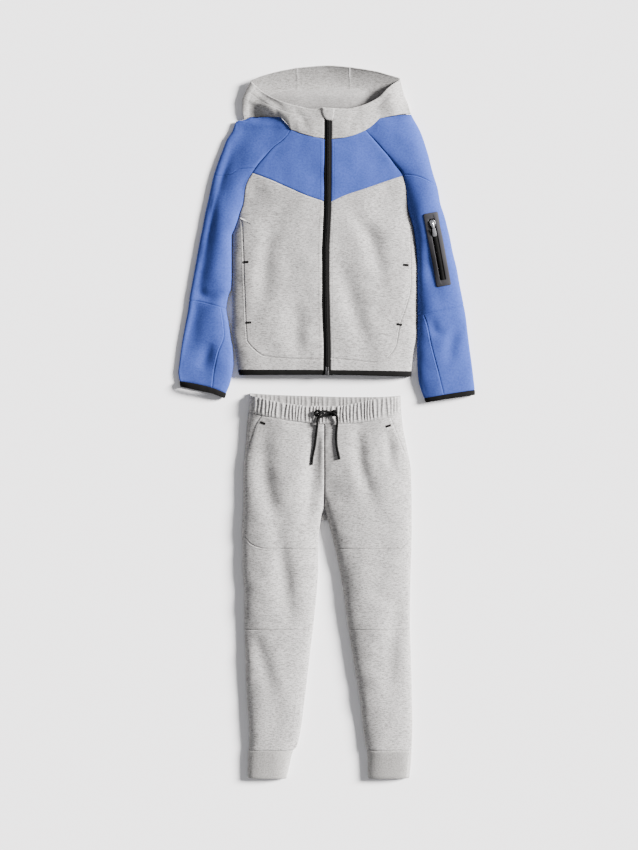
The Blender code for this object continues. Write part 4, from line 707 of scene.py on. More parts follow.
def buildTorso():
    torso = tubes["torso"]
    for side, seams in torsoSeams.items():
        edge, zipSide = seams["edge"], seams["zipSide"]
        at = seams["zipAt"]

        def toZip(points, y, snap=False):
            return torso.line((*points, (float(zipX(y, zipSide)), y)), fine, (snap, False))

        def zipEdge(start, end):
            y = start + (end - start) * fine
            return np.column_stack([torso.share(zipX(y, zipSide), y), y])

        yokeSeam = toZip(seams["yoke"], at["yoke"], True)
        outer = "free"
        sewn(
            "yoke_" + side, "torso", front, [torso.edge(edge, seams["neck"][0][1], seams["yokeEnd"], fine)],
            [zipEdge(at["neck"], at["yoke"])], [toZip(seams["neck"], at["neck"], True)], [yokeSeam],
            "blue", "blue_jersey", ("seam", "free", "seam", "seam"), groove=0.7,
        )
        pocketY = seams["pocketTop"]
        corner = torso.line(
            ((float(torso.edgeX(int(edge), pocketY)), pocketY), seams["pocket"][0]), even(12), (True, False)
        )
        pocketSeam = torso.line(seams["pocket"], fine, (False, False))
        hemSeam = toZip(seams["hem"], at["hem"])
        sewn(
            "front_" + side, "torso", front,
            [torso.edge(edge, seams["yokeEnd"], pocketY, fine), corner, pocketSeam],
            [zipEdge(at["yoke"], at["hem"])], [yokeSeam], [hemSeam],
            "grey", "grey_jersey", ("seam", "free", "seam", "seam"),
        )
        hemY = float(column(hemTop, 1, edge))
        hemZip = float(column(hemTop, 1, 0.5))
        zipShare = float(torso.share(zipX(hemZip, zipSide), hemZip))
        y = hemZip + (at["hem"] - hemZip) * even(12)
        hemEnd = np.column_stack([torso.share(zipX(y, zipSide), y), y])
        sewn(
            "side_panel_" + side, "torso", front,
            [torso.edge(edge, pocketY, hemY, fine), levelLine(hemTop, edge + (zipShare - edge) * fine)],
            [pocketSeam, hemSeam], [corner], [hemEnd], "grey", "grey_jersey",
            ("fold", "seam", "seam", "free"), step=2.2,
        )
    yokeLine = torso.line(backYokeSeam, fine)
    sewn(
        "back_yoke", "torso", back, [torso.edge(0.0, 601.5, 512.5, fine)],
        [torso.edge(1.0, 599, 512.5, fine)],
        [torso.line(((-73, 601.5), (2, 600.5), (78, 599)), fine)], [yokeLine], "blue", "blue_jersey",
        ("seam", "seam", "seam", "seam"),
    )
    sewn(
        "back_body", "torso", back, [torso.edge(0.0, 512.5, hemTop[0][1], fine)],
        [torso.edge(1.0, 512.5, hemTop[2][1], fine)], [yokeLine], [levelLine(hemTop, fine)], "grey",
        "grey_jersey",
        ("fold", "fold", "seam", "seam"),
    )


def levelLine(table, stations):
    return np.column_stack([stations, column(table, 1, stations)])


def ringPoints(tube, table, over, under):
    overLine, underLine = levelLine(table, over), levelLine(table, under[::-1][1:-1])
    points = np.concatenate([tube.point(front, *overLine.T), tube.point(back, *underLine.T)])
    normals = np.concatenate([tube.outward(front, *overLine.T), tube.outward(back, *underLine.T)])
    return points, normals


# Band of cloth round the end of a tube. profile gives its height over the cloth down its width.
def bandWall(piece, tube, top, bottom, over, under, rows, thickness, swell, profile):
    outers, inners = [], []
    for share in even(rows):
        table = [(a, (1 - share) * ya + share * float(column(bottom, 1, a))) for a, ya in top]
        points, normals = ringPoints(tube, table, over, under)
        run = np.concatenate([[0], np.cumsum(np.linalg.norm(np.diff(points, axis=0), axis=1))])
        lift = profile(share) + swell(run, share)
        outer = points + lift[:, None] * normals
        outer[:, 2] = np.maximum(outer[:, 2], 0.0)
        outers.append(outer)
        inners.append(points - thickness * normals)
    outer, inner = np.array(outers), np.array(inners)
    return wall(
        piece["name"] + "_cloth", outer, inner, piece["material"], piece["name"], piece["slot"], closed=True
    )


def roundBack(tube, start, end, step):
    width = abs(float(tube.edgeX(1, (start + end) / 2) - tube.edgeX(0, (start + end) / 2)))
    return spaced(width, step, "fold", "fold")


def bindingProfile(share):
    return 0.1 + 0.75 * math.sqrt(max(0.0, 1 - abs(2 * share - 1) ** 3))


def buildHemBinding():
    torso = tubes["torso"]
    outers, inners = [], []
    for share in even(7):
        table = [
            (a, (1 - share) * column(hemTop, 1, a) + share * column(hemBottom, 1, a))
            for a in (0.0, 0.5, 1.0)
        ]
        y = float(column(table, 1, 0.5))
        starts = [float(torso.share(zipX(y, side), y)) for side in (-1, 1)]
        turn = spaced(190, 4.0, "fold", "free")
        left = levelLine(table, starts[0] * turn[::-1])
        under = levelLine(table, roundBack(torso, 110, 96, 5.0)[1:-1])
        right = levelLine(table, 1 + (starts[1] - 1) * turn)
        lines = ((front, left), (back, under), (front, right))
        points = np.concatenate([torso.point(face, *line.T) for face, line in lines])
        normals = np.concatenate([torso.outward(face, *line.T) for face, line in lines])
        run = np.concatenate([[0], np.cumsum(np.linalg.norm(np.diff(points, axis=0), axis=1))])
        lift = bindingProfile(share) + 0.12 * np.sin(run / 4.3 + np.sin(run / 17))
        outer = points + lift[:, None] * normals
        outer[:, 2] = np.maximum(outer[:, 2], 0.0)
        outers.append(outer)
        inners.append(points - 2.4 * normals)
    wall(
        "hem_binding_cloth", np.array(outers), np.array(inners), "binding", "hem_binding", "black_binding",
        up=False
    )


# Seams of the sleeves from the outer edge inwards; cuff lines are share across and y.
sleeveSeams = {
    "left": {
        "shoulder": ((-231.5, 509.5), (-202, 509.5), (-179.5, 519.5), (-146, 522)),
        "elbow": ((-282, 251.5), (-262, 249), (-232.5, 242), (-216, 238)),
        "elbowInner": ((-216, 238), (-206, 235)),
        "forearm": ((-216, 238), (-210, 181), (-222.5, 143.5), (-231, 105)),
        "cuffSplit": 0.66,
        "cuffTop": ((0, 85.5), (0.4, 78.5), (0.68, 71.5), (1, 61)),
        "cuffBottom": ((0, 74.5), (0.45, 65), (0.68, 60.5), (1, 50.5)),
    },
    "right": {
        "shoulder": ((225.5, 488.5), (181.5, 506.5), (156, 509.5)),
        "elbow": ((282, 241.5), (243, 232.5), (199, 222.5)),
        "elbowInner": ((199, 222.5), (186.5, 220)),
        "forearm": ((199, 222.5), (203, 212.5), (215, 158.5), (230.5, 99)),
        "cuffSplit": 0.6,
        "cuffTop": ((0, 68), (0.55, 59), (1, 50.5)),
        "cuffBottom": ((0, 57.5), (0.5, 50), (1, 42)),
    },
}


def buildSleeve(side):
    key = "sleeve_" + side
    tube, seams = tubes[key], sleeveSeams[side]
    topRows = tube.top if side == "left" else tube.top[::-1]
    topPoints = [row[:2] for row in topRows[:5 if side == "left" else 4]]
    neckY, raglanY = topPoints[-1][1], seams["shoulder"][-1][1]
    outerY, shoulderY = topPoints[0][1], seams["shoulder"][0][1]
    shoulder = tube.line(seams["shoulder"], fine)
    topLine = tube.line(topPoints, fine)
    blue = ("blue", "blue_jersey")
    sewn(
        "sleeve_cap_" + side, key, front, [tube.edge(0.0, outerY, shoulderY, fine)],
        [tube.edge(1.0, neckY, 600.5, fine), tube.edge(1.0, 600.5, raglanY, fine)], [topLine], [shoulder],
        *blue,
        ("fold", "seam", "fold", "seam"), groove=0.6, step=2.3,
    )
    elbowY, innerY = seams["elbow"][0][1], seams["elbowInner"][-1][1]
    elbow = tube.line(seams["elbow"], fine, (True, False))
    elbowInner = tube.line(seams["elbowInner"], fine, (False, True))
    sewn(
        "sleeve_upper_" + side, key, front, [tube.edge(0.0, shoulderY, elbowY, fine)],
        [tube.edge(1.0, raglanY, innerY, fine)], [shoulder], [elbow, elbowInner], *blue,
        ("fold", "fold", "seam", "seam"), groove=0.6, step=2.3,
    )
    split = seams["cuffSplit"]
    splitY = float(column(seams["cuffTop"], 1, split))
    forearm = tube.line((*seams["forearm"], (float(tube.x(split, splitY)), splitY)), fine, (False, False))
    sewn(
        "forearm_outer_" + side, key, front, [tube.edge(0.0, elbowY, seams["cuffTop"][0][1], fine)],
        [forearm],
        [elbow], [levelLine(seams["cuffTop"], split * fine)], *blue, ("fold", "seam", "seam", "seam"),
        groove=0.6,
        step=2.3,
    )
    sewn(
        "forearm_inner_" + side, key, front, [forearm],
        [tube.edge(1.0, innerY, seams["cuffTop"][-1][1], fine)],
        [elbowInner], [levelLine(seams["cuffTop"], split + (1 - split) * fine)], *blue,
        ("seam", "fold", "seam", "seam"), groove=0.6, step=2.3,
    )
    elbowBack = chain(elbow, elbowInner)
    sewn(
        "sleeve_back_upper_" + side, key, back, [tube.edge(0.0, outerY, elbowY, fine)],
        [tube.edge(1.0, neckY, innerY, fine)], [topLine], [elbowBack], *blue,
        ("fold", "fold", "fold", "seam"),
    )
    sewn(
        "sleeve_back_lower_" + side, key, back, [tube.edge(0.0, elbowY, seams["cuffTop"][0][1], fine)],
        [tube.edge(1.0, innerY, seams["cuffTop"][-1][1], fine)], [elbowBack],
        [levelLine(seams["cuffTop"], fine)],
        *blue, ("fold", "fold", "seam", "seam"),
    )
    over = spaced(95, 2.2, "fold", "fold")
    bandWall(
        {"name": "cuff_binding_" + side, "material": "binding", "slot": "black_binding"}, tube,
        seams["cuffTop"], seams["cuffBottom"], over, roundBack(tube, 80, 60, 4.0), 8, 2.4,
        lambda run, share: 0.12 * np.sin(run / 3.1 + np.sin(run / 11)), bindingProfile,
    )


# Seams of the legs from the outer edge inwards; pocket lines run down.
legSeams = {
    "left": {
        "waistOuter": ((-160, 23.5), (-132, 15.5)),
        "waist": ((-132, 15.5), (-107, 10), (-59.5, 2.5), (-5.2, -2)),
        "pocket": ((-132, 15.5), (-144.5, -2), (-152.5, -26.5), (-160, -51), (-165.8, -66)),
        "pocketEnd": -67.5,
        "thigh": ((-174, -221.5), (-154, -249), (-124, -257.5), (-75, -258.5), (-17, -258.5)),
        "knee": ((-169, -424.5), (-28, -424.5)),
    },
    "right": {
        "waistOuter": ((153.6, 20.5), (130, 12.5)),
        "waist": ((130, 12.5), (92.5, 4), (52.5, -1), (-4, -2)),
        "pocket": ((130, 12.5), (145, -23.5), (152.5, -43), (165.5, -71)),
        "pocketEnd": -72.5,
        "thigh": ((174.8, -231.5), (146.5, -258), (110, -258.5), (68.5, -258.5), (17.6, -258.5)),
        "knee": ((171.5, -424.5), (44.4, -424.5)),
    },
}
ankleTop = -672.0
ankleBottom = -729.5


def buildLeg(side):
    key = "leg_" + side
    tube, seams = tubes[key], legSeams[side]
    pocket = tube.line(seams["pocket"], fine, (False, False))
    pocketFoot = seams["pocketEnd"]
    tip = pocket[-1] + (np.array((0.0, pocketFoot)) - pocket[-1]) * even(8)[:, None]
    waistY, centreY = seams["waistOuter"][0][1], seams["waist"][-1][1]
    thigh, knee = tube.line(seams["thigh"], fine), tube.line(seams["knee"], fine)
    thighY, thighInner, kneeY = seams["thigh"][0][1], seams["thigh"][-1][1], seams["knee"][0][1]
    ankle = ((0.0, ankleTop), (1.0, ankleTop))
    grey = ("grey", "grey_jersey")
    sewn(
        "pocket_side_" + side, key, front, [tube.edge(0.0, waistY, pocketFoot, fine)], [pocket],
        [tube.line(seams["waistOuter"], fine, (True, False))], [tip[::-1]], *grey,
        ("fold", "seam", "seam", "free"), step=2.0, lift=-0.9,
    )
    sewn(
        "hip_front_" + side, key, front, [pocket, tip, tube.edge(0.0, pocketFoot, thighY, fine)],
        [tube.edge(1.0, centreY, thighInner, fine)], [tube.line(seams["waist"], fine, (False, True))],
        [thigh],
        *grey, ("free", "seam", "seam", "seam"),
    )
    sewn(
        "thigh_front_" + side, key, front, [tube.edge(0.0, thighY, kneeY, fine)],
        [tube.edge(1.0, thighInner, kneeY, fine)], [thigh], [knee], *grey, ("fold", "fold", "seam", "seam"),
    )
    sewn(
        "shin_front_" + side, key, front, [tube.edge(0.0, kneeY, ankleTop, fine)],
        [tube.edge(1.0, kneeY, ankleTop, fine)], [knee], [levelLine(ankle, fine)], *grey,
        ("fold", "fold", "seam", "seam"),
    )
    sewn(
        "leg_back_" + side, key, back, [tube.edge(0.0, waistY, ankleTop, fine)],
        [tube.edge(1.0, centreY, ankleTop, fine)],
        [tube.line(seams["waistOuter"] + seams["waist"][1:], fine)], [levelLine(ankle, fine)], *grey,
        ("fold", "fold", "seam", "seam"),
    )
    ribs = {"count": 54, "height": 0.35}

    def ribbing(run, share):
        wave = np.cos(2 * np.pi * run / 1.75)
        return ribs["height"] * (
            wave + 0.25 * np.sin(run / 9 + 3 * share)
        ) * (1 if 0.02 < share < 0.98 else 0.2)

    bandWall(
        {"name": "leg_cuff_" + side, "material": "rib", "slot": "pale_rib"}, tube,
        ankle, ((0.0, ankleBottom), (1.0, ankleBottom - 1)), spaced(93, 0.4, "fold", "fold"),
        roundBack(tube, -672, -730, 0.6), 18, 2.2, ribbing,
        lambda share: -0.2 - 0.8 * math.exp(-((share * 57 / 2.2) ** 2))
        - 0.9 * math.exp(-(((1 - share) * 57 / 1.1) ** 2)),
    )


waistFrontTop = (
    (-157.8, 57), (-126, 49.5), (-95.5, 43), (-60.5, 37.5), (-36, 35), (17.5, 35), (68.5, 43), (90, 48),
    (116, 52.5), (152.8, 55),
)
waistBackTop = ((-157.9, 61.5), (-107.5, 58), (-29.5, 55.5), (56.5, 53.5), (103.5, 53.5), (152.6, 56))
waistBottom = (
    (-160, 23.8), (-132, 15.8), (-107, 10.3), (-59.5, 2.8), (-1, -1.7), (52.5, -0.7), (92.5, 4.3),
    (130, 12.8), (153.6, 20.8),
)
gathers = 42
gatherDepth = 1.9
backGathers = 34


def buildWaistband():
    tube = tubes["waist"]
    for name, face, top, count, depth in (
        ("waistband_front", front, waistFrontTop, gathers, gatherDepth * 1.3),
        ("waistband_back", back, waistBackTop, backGathers, gatherDepth * 0.7),
    ):
        stations = np.unique(np.concatenate([spaced(315, 0.9, "fold", "fold")]))
        topLine, bottomLine = readLine(tube, tube.line(top, fine), stations), readLine(
            tube, tube.line(waistBottom, fine), stations
        )
        rows = spaced(40, 1.6, "free", "seam")[:, None, None]
        grid = (1 - rows) * topLine[None] + rows * bottomLine[None]
        s, y = np.clip(grid[..., 0], 0, 1), grid[..., 1]
        points, normals = tube.point(face, s, y), tube.outward(face, s, y)
        v = rows[..., 0]
        wander = 0.3 * np.sin(17.3 * s) + 0.24 * np.sin(38.7 * s + 1) + 0.1 * np.sin(71 * s + 3 * v)
        phase = 2 * np.pi * (count * s + wander)
        wave = 0.5 + 0.5 * np.cos(phase + 0.35 * np.sin(phase))
        vary = 0.78 + 0.22 * np.sin(47 * s + 2.2 + 2 * v) * np.sin(83 * s)
        fade = np.clip(np.minimum(s, 1 - s) / 0.03, 0, 1)
        shape = column(((0, 0.35), (0.12, 0.95), (0.5, 1.0), (0.8, 0.85), (0.93, 0.3), (1, 0.05)), 1, v)
        swell = depth * wave * vary * fade * shape
        rim = grooves(points, ("free", "free", "free", "seam"))
        if face:
            outer, inner = points, points - (cloth + swell[..., None]) * normals
        else:
            outer = points + (swell + rim)[..., None] * normals
            inner = points + (0.6 * swell - cloth)[..., None] * normals
        wall(
            name + "_cloth", outer, inner, "grey" if face == front else "inner", name,
            "grey_jersey" if face == front else "pale_rib", up=face == front, held="gathered"
        )


def gridNormals(points):
    down = np.gradient(points, axis=0)
    right = np.gradient(points, axis=1)
    normal = np.cross(right, down)
    return normal / (np.linalg.norm(normal, axis=-1, keepdims=True) + 1e-12)


# Hood: far rim, near rim, outer fold and lower edge, each from the outer corner inwards or down.
hood = {
    "left": {
        "zipSide": -1,
        "farRim": ((-154.5, 704), (-130, 713), (-105.5, 720), (-60.8, 729)),
        "nearRim": ((-154.5, 700), (-132, 680.5), (-105.5, 664), (-54.5, 647.5), (-27.5, 642.5)),
        "fold": ((-155, 702), (-166, 682.5), (-173, 662), (-172.5, 641.5), (-169, 624.4)),
        "shoulder": ((-169, 624.4), (-154, 630), (-126, 630.5), (-95.5, 629.5)),
        "neck": ((-95.5, 629.5), (-85, 619.5), (-73, 603)),
        "collar": ((-73, 603), (-48, 594)),
        "zipTop": 644, "zipBottom": 582,
        "backEdge": ((-169, 624.4), (-154, 630), (-120, 630.5), (-60.8, 631)),
    },
    "right": {
        "zipSide": 1,
        "farRim": ((150.5, 708), (126, 715.5), (99.5, 722.5), (48.3, 730.5)),
        "nearRim": ((150.5, 704), (138.5, 695), (120, 680), (105.5, 666), (66.5, 648), (42, 643)),
        "fold": ((151, 706), (160.5, 671), (168, 653), (172.5, 635.2)),
        "shoulder": ((172.5, 635.2), (159, 635.3), (134.5, 631.8), (109, 626.6)),
        "neck": ((109, 626.6), (93.5, 611.6), (78, 600.8)),
        "collar": ((78, 600.8), (53.5, 590.8)),
        "zipTop": 644, "zipBottom": 581.6,
        "backEdge": ((172.5, 635.2), (159, 635.6), (120, 632.5), (48.3, 631)),
    },
}
hoodShape = {
    "centreRim": ((-60.2, 729), (5, 733.6), (47.7, 730.5)),
    "backBottom": 631.0,
    "rimZip": 38.0,
    "rimCorner": 23.0,
    "brim": 20.0,
    "brimCorner": 12.0,
    "brimReach": 42.0,
    "fold": 7.5,
}
neckFacing = {
    "top": ((-122, 675), (-61.5, 685), (-1, 688), (47.5, 687), (108, 675)),
    "bottom": ((-112, 642), (-60, 638), (0, 637), (60, 638), (100, 642)),
    "rise": ((0, 5.6), (0.12, 9.0), (0.35, 14.0), (0.7, 12.0), (0.92, 7.2), (1, 5.6)),
}
chinGuard = ((-9.5, 645.5), (-8.5, 634), (-4.5, 624), (2.5, 619), (11, 618.5), (15, 630), (16, 642))


def brim(x, y):
    rimY = column(
        ((-160, 702), (-105.5, 720), (-60, 729), (5, 733.6), (48, 730.5), (99.5, 722.5), (155, 706)), 1, x
    )
    height = column(
        (
            (-160, hoodShape["brimCorner"]), (-60, hoodShape["brim"]), (60, hoodShape["brim"]),
            (155, hoodShape["brimCorner"])
        ), 1, x
    )
    return height * np.clip(1 - (rimY - y) / hoodShape["brimReach"], 0, 1) ** 1.7


# Points of one side of the hood: far layer, folded outer edge and near layer.
def hoodGrid(seams, down, over, farOver):
    zipSide = seams["zipSide"]
    torso = tubes["torso"]
    fold = along(seams["fold"], down)
    zipTop = (float(zipX(seams["zipTop"], zipSide)), seams["zipTop"])
    zipBottom = (float(zipX(seams["zipBottom"], zipSide)), seams["zipBottom"])
    nearRim = along((*seams["nearRim"], zipTop), over)
    parts = (seams["shoulder"], seams["neck"], (*seams["collar"], zipBottom))
    whole = chain(*[along(part, even(60)) for part in parts])
    run = np.concatenate([[0], np.cumsum(np.linalg.norm(np.diff(whole, axis=0), axis=1))])
    lower = np.column_stack([np.interp(over * run[-1], run, whole[:, k]) for k in (0, 1)])
    zipEdge = along((zipTop, zipBottom), down)
    lap = np.clip(6 * over, 0, 1) * np.clip(8 * (1 - over), 0, 1)
    lower[:, 1] -= 2.6 * lap
    nearRim[0], lower[0] = fold[0], fold[-1]
    near = ruled(fold, zipEdge, nearRim, lower, over, down)
    x, y = near[..., 0], near[..., 1]
    v, u = down[:, None], over[None, :]
    edgeZ = hoodShape["fold"] + (
        hoodShape["brimCorner"] - hoodShape["fold"]
    ) * np.clip(1 - v / 0.4, 0, 1) ** 2
    rimZ = hoodShape["rimCorner"] + (hoodShape["rimZip"] - hoodShape["rimCorner"]) * u
    collarZ = torso.front(np.clip(torso.share(lower[:, 0], lower[:, 1]), 0, 1), lower[:, 1])
    tops = leftShoulderTop if zipSide < 0 else rightShoulderTop
    shoulderZ = column(tops, 2, lower[:, 0])
    mix = np.clip((over - 0.62) / 0.08, 0, 1)
    lowerZ = shoulderZ * (1 - mix) + np.maximum(collarZ, 27) * mix + 1.6 * lap
    target = rimZ + (lowerZ[None, :] - rimZ) * v
    inset = np.hypot(x - x[:, :1], y - y[:, :1])
    swell = rise(inset / 55, 0.0, 2.4)
    z = edgeZ + (target - edgeZ) * (swell + (1 - swell) * v ** 5)
    z = z + 3.0 * np.sin(np.pi * v) * swell * (1 - u) ** 0.5
    z[:, 0] = edgeZ[:, 0]
    near = np.dstack([x, y, z])
    farRim, backEdge = along(seams["farRim"], farOver), along(seams["backEdge"], farOver)
    farRim[0], backEdge[0] = fold[0], fold[-1]
    centre = along((farRim[-1], backEdge[-1]), down)
    far = ruled(fold, centre, farRim, backEdge, farOver, down)
    x, y = far[..., 0], far[..., 1]
    low = brim(x, y)
    inset = np.hypot(x - x[:, :1], y - y[:, :1])
    far = np.dstack([x, y, low + (edgeZ - low) * underTurn(inset)])
    return far, near


hoodFolds = {
    "left": (
        ((-150, 690), (-120, 668), (-85, 640), 8, -3.4), ((-165, 668), (-135, 650), (-104, 636), 7, 2.4),
        ((-70, 645), (-50, 622), (-40, 600), 9, -2.0),
    ),
    "right": (
        ((148, 696), (122, 668), (92, 640), 8, -3.4), ((163, 668), (138, 650), (112, 636), 7, 2.4),
        ((72, 645), (56, 622), (48, 600), 9, -2.0),
    ),
}


def buildHoodSide(side):
    seams = hood[side]
    down = spaced(62, 1.5, "free", "seam")
    over = 1 - spaced(175, 2.0, "free", "fold")[::-1]
    farOver = 1 - spaced(100, 3.0, "seam", "fold")[::-1]
    far, near = hoodGrid(seams, down, over, farOver)
    x, y = near[..., 0], near[..., 1]
    inset = np.hypot(x - x[:, :1], y - y[:, :1])
    fade = np.clip(inset / 14, 0, 1) * np.clip((1 - over[None, :]) / 0.1, 0, 1)
    sag = -10.0 if side == "left" else 6.5
    near[..., 2] += fade * (
        foldDepth(hoodFolds[side], x, y) + unevenness(x, y) + sag * np.exp(-(((inset - 30) / 22) ** 2))
    )
    points = np.concatenate([far[:, ::-1], near[:, 1:]], axis=1)
    normals = gridNormals(points) * seams["zipSide"]
    moved = grooves(points, ("seam", "free", "free", "free"), 0.35)
    rimGap = borderGaps(points)[2]
    moved = moved - 0.5 * np.exp(-(((rimGap - 17.0) / 1.0) ** 2)) * (
        np.arange(points.shape[1]) > far.shape[1]
    )
    outer = points + moved[..., None] * normals
    outer[..., 2] = np.maximum(outer[..., 2], 0.02)
    inner = outer - 2.8 * normals
    wall(
        "hood_side_" + side + "_cloth", outer, inner, "hood", "hood_side_" + side, "hood_jersey",
        up=seams["zipSide"] > 0
    )


def buildHood():
    for side in hood:
        buildHoodSide(side)
    down, over = spaced(62, 1.8, "free", "seam"), spaced(108, 2.6, "seam", "seam")
    top = along(hoodShape["centreRim"], over)
    bottom = along(((-60.2, hoodShape["backBottom"]), (47.7, hoodShape["backBottom"])), over)
    grid = ruled(
        along((top[0], bottom[0]), down), along((top[-1], bottom[-1]), down), top, bottom, over, down
    )
    x, y = grid[..., 0], grid[..., 1]
    points = np.dstack([x, y, brim(x, y)])
    normals = gridNormals(points)
    normals *= -np.sign(normals[..., 2:])
    points = points + grooves(points, ("seam", "seam", "free", "free"), 0.35)[..., None] * normals
    points[..., 2] = np.maximum(points[..., 2], 0.02)
    inner = points - (2.8 + 0.5 * unevenness(x, y))[..., None] * normals
    wall("hood_centre_cloth", points, inner, "hood", "hood_centre", "hood_jersey", up=False)
    down, over = spaced(48, 1.6, "free", "free"), spaced(225, 2.4, "free", "free")
    top, bottom = along(neckFacing["top"], over), along(neckFacing["bottom"], over)
    grid = ruled(
        along((top[0], bottom[0]), down), along((top[-1], bottom[-1]), down), top, bottom, over, down
    )
    level = neckFacing["rise"][0][1]
    lifted = column(neckFacing["rise"], 1, down)[:, None]
    middle = np.sin(np.pi * np.clip(over, 0.001, 0.999))[None, :] ** 0.5
    x, y = grid[..., 0], grid[..., 1]
    points = np.dstack([x, y, level + (lifted - level) * middle + 0.8 * unevenness(x, y)])
    normals = gridNormals(points)
    normals *= np.sign(normals[..., 2:])
    wall("neck_facing_cloth", *parted(points, points - 1.8 * normals), "inner", "neck_facing", "hood_jersey")


buildTorso()
print("jacket body made")
buildHemBinding()
for hand in ("left", "right"):
    buildSleeve(hand)
print("sleeves made")
for hand in ("left", "right"):
    buildLeg(hand)
print("legs made")
buildWaistband()
buildHood()
print("hood made")


# Points and normals of the cloth on a tube's front at places given in x and y.
def onTube(tube, x, y, lift=0.0):
    x, y = np.asarray(x, float), np.asarray(y, float)
    s = np.clip(tube.share(x, y), 0, 1)
    normals = tube.outward(front, s, y)
    return tube.point(front, s, y) + (relief(tube, x, y, s) + lift)[..., None] * normals, normals


# Geometry nodes that set one small shape on every point, turned by its along and up vectors.
def repeatTree(form):
    tree = bpy.data.node_groups.new("repeated " + form, "GeometryNodeTree")
    kinds = {
        "Places": "Geometry", "Size": "Vector", "Unevenness": "Float", "Seed": "Int", "Finish": "Material"
    }
    names = {
        label: tree.interface.new_socket(label, in_out="INPUT", socket_type="NodeSocket" + kind).identifier
        for label, kind in kinds.items()
    }
    tree.interface.new_socket("Pieces", in_out="OUTPUT", socket_type="NodeSocketGeometry")
    given = addNode(tree, "NodeGroupInput").outputs
    if form == "thread":
        shape = addNode(tree, "GeometryNodeMeshUVSphere", {"Segments": 8, "Rings": 5, "Radius": 0.5})
    else:
        shape = addNode(tree, "GeometryNodeMeshCube", {"Size": (1, 1, 1)})
    along = addNode(tree, "GeometryNodeInputNamedAttribute", {"Name": "along"}, data_type="FLOAT_VECTOR")
    up = addNode(tree, "GeometryNodeInputNamedAttribute", {"Name": "up"}, data_type="FLOAT_VECTOR")
    first = addNode(
        tree, "FunctionNodeAlignRotationToVector", {"Vector": along.outputs[0]}, axis="X", pivot_axis="AUTO"
    )
    turn = addNode(
        tree, "FunctionNodeAlignRotationToVector", {"Rotation": first.outputs[0], "Vector": up.outputs[0]},
        axis="Z", pivot_axis="X",
    )
    least = addNode(tree, "ShaderNodeMath", {0: 1.0, 1: given["Unevenness"]}, operation="SUBTRACT")
    most = addNode(tree, "ShaderNodeMath", {0: 1.0, 1: given["Unevenness"]}, operation="ADD")
    share = addNode(tree, "FunctionNodeRandomValue", {
        2: least.outputs[0], 3: most.outputs[0], 8: given["Seed"],
    }, data_type="FLOAT")
    size = addNode(
        tree, "ShaderNodeVectorMath", {0: given["Size"], "Scale": share.outputs[1]}, operation="SCALE"
    )
    spread = addNode(tree, "GeometryNodeInstanceOnPoints", {
        "Points": given["Places"], "Instance": shape.outputs["Mesh"], "Rotation": turn.outputs[0],
        "Scale": size.outputs[0],
    })
    real = addNode(tree, "GeometryNodeRealizeInstances", {"Geometry": spread.outputs[0]})
    finished = addNode(
        tree, "GeometryNodeSetMaterial", {"Geometry": real.outputs[0], "Material": given["Finish"]}
    )
    addNode(tree, "NodeGroupOutput", {0: finished.outputs[0]})
    return tree, names


repeats = {form: repeatTree(form) for form in ("thread", "tooth")}


def repeated(name, form, points, alongs, ups, size, material, unevenness=0.05, seed=3, node=None):
    mesh = bpy.data.meshes.new(name + "_places")
    mesh.from_pydata(placed(points).tolist(), [], [])
    for key, vectors in (("along", alongs), ("up", ups)):
        attribute = mesh.attributes.new(key, "FLOAT_VECTOR", "POINT")
        attribute.data.foreach_set("vector", np.asarray(vectors, float).ravel())
    guide = bpy.data.objects.new(name + "_places", mesh)
    bpy.context.scene.collection.objects.link(guide)
    modifier = guide.modifiers.new("repeat", "NODES")
    tree, names = repeats[form]
    modifier.node_group = tree
    modifier[names["Size"]] = [value * mm for value in size]
    modifier[names["Unevenness"]] = unevenness
    modifier[names["Seed"]] = seed
    modifier[names["Finish"]] = materials[material]
    bpy.context.view_layer.update()
    made = bpy.data.meshes.new_from_object(guide.evaluated_get(bpy.context.evaluated_depsgraph_get()))
    bpy.data.objects.remove(guide)
    if form == "thread":
        made.shade_smooth()
    made.name = name
    return finishPiece(name, made, material, node)


# The line moved sideways, to the left of its run.
def shifted(line, distance):
    step = np.gradient(line, axis=0)
    step /= np.linalg.norm(step, axis=1, keepdims=True)
    return line + distance * np.column_stack([-step[:, 1], step[:, 0]])


def stitchPlaces(tube, line, spacing):
    run = np.concatenate([[0], np.cumsum(np.linalg.norm(np.diff(line, axis=0), axis=1))])
    at = np.arange(spacing / 2, run[-1], spacing)
    found = [
        np.column_stack([np.interp(k, run, line[:, 0]), np.interp(k, run, line[:, 1])])
        for k in (at, at + 0.6)
    ]
    points, normals = onTube(tube, *found[0].T, 0.16)
    ahead = onTube(tube, *found[1].T, 0.16)[0]
    return points, ahead - points, normals


def stitches(name, lines, thread, spacing=3.0, size=(2.2, 0.5, 0.42)):
    found = [stitchPlaces(tubes[tube], along(line, even(80)), spacing) for tube, line in lines]
    points, alongs, ups = (np.concatenate([row[k] for row in found]) for k in range(3))
    repeated(name, "thread", points, alongs, ups, size, thread)


def besideSeam(tube, seam, gap=2.6):
    line = along(seam, even(60))[2:-2]
    return [(tube, shifted(line, gap)), (tube, shifted(line, -gap))]


def besideZip(side, top, bottom, gap=14.0):
    y = np.linspace(top, bottom, 60)
    return ("torso", np.column_stack([column(zipLine, 1, y) + side * gap, y]))


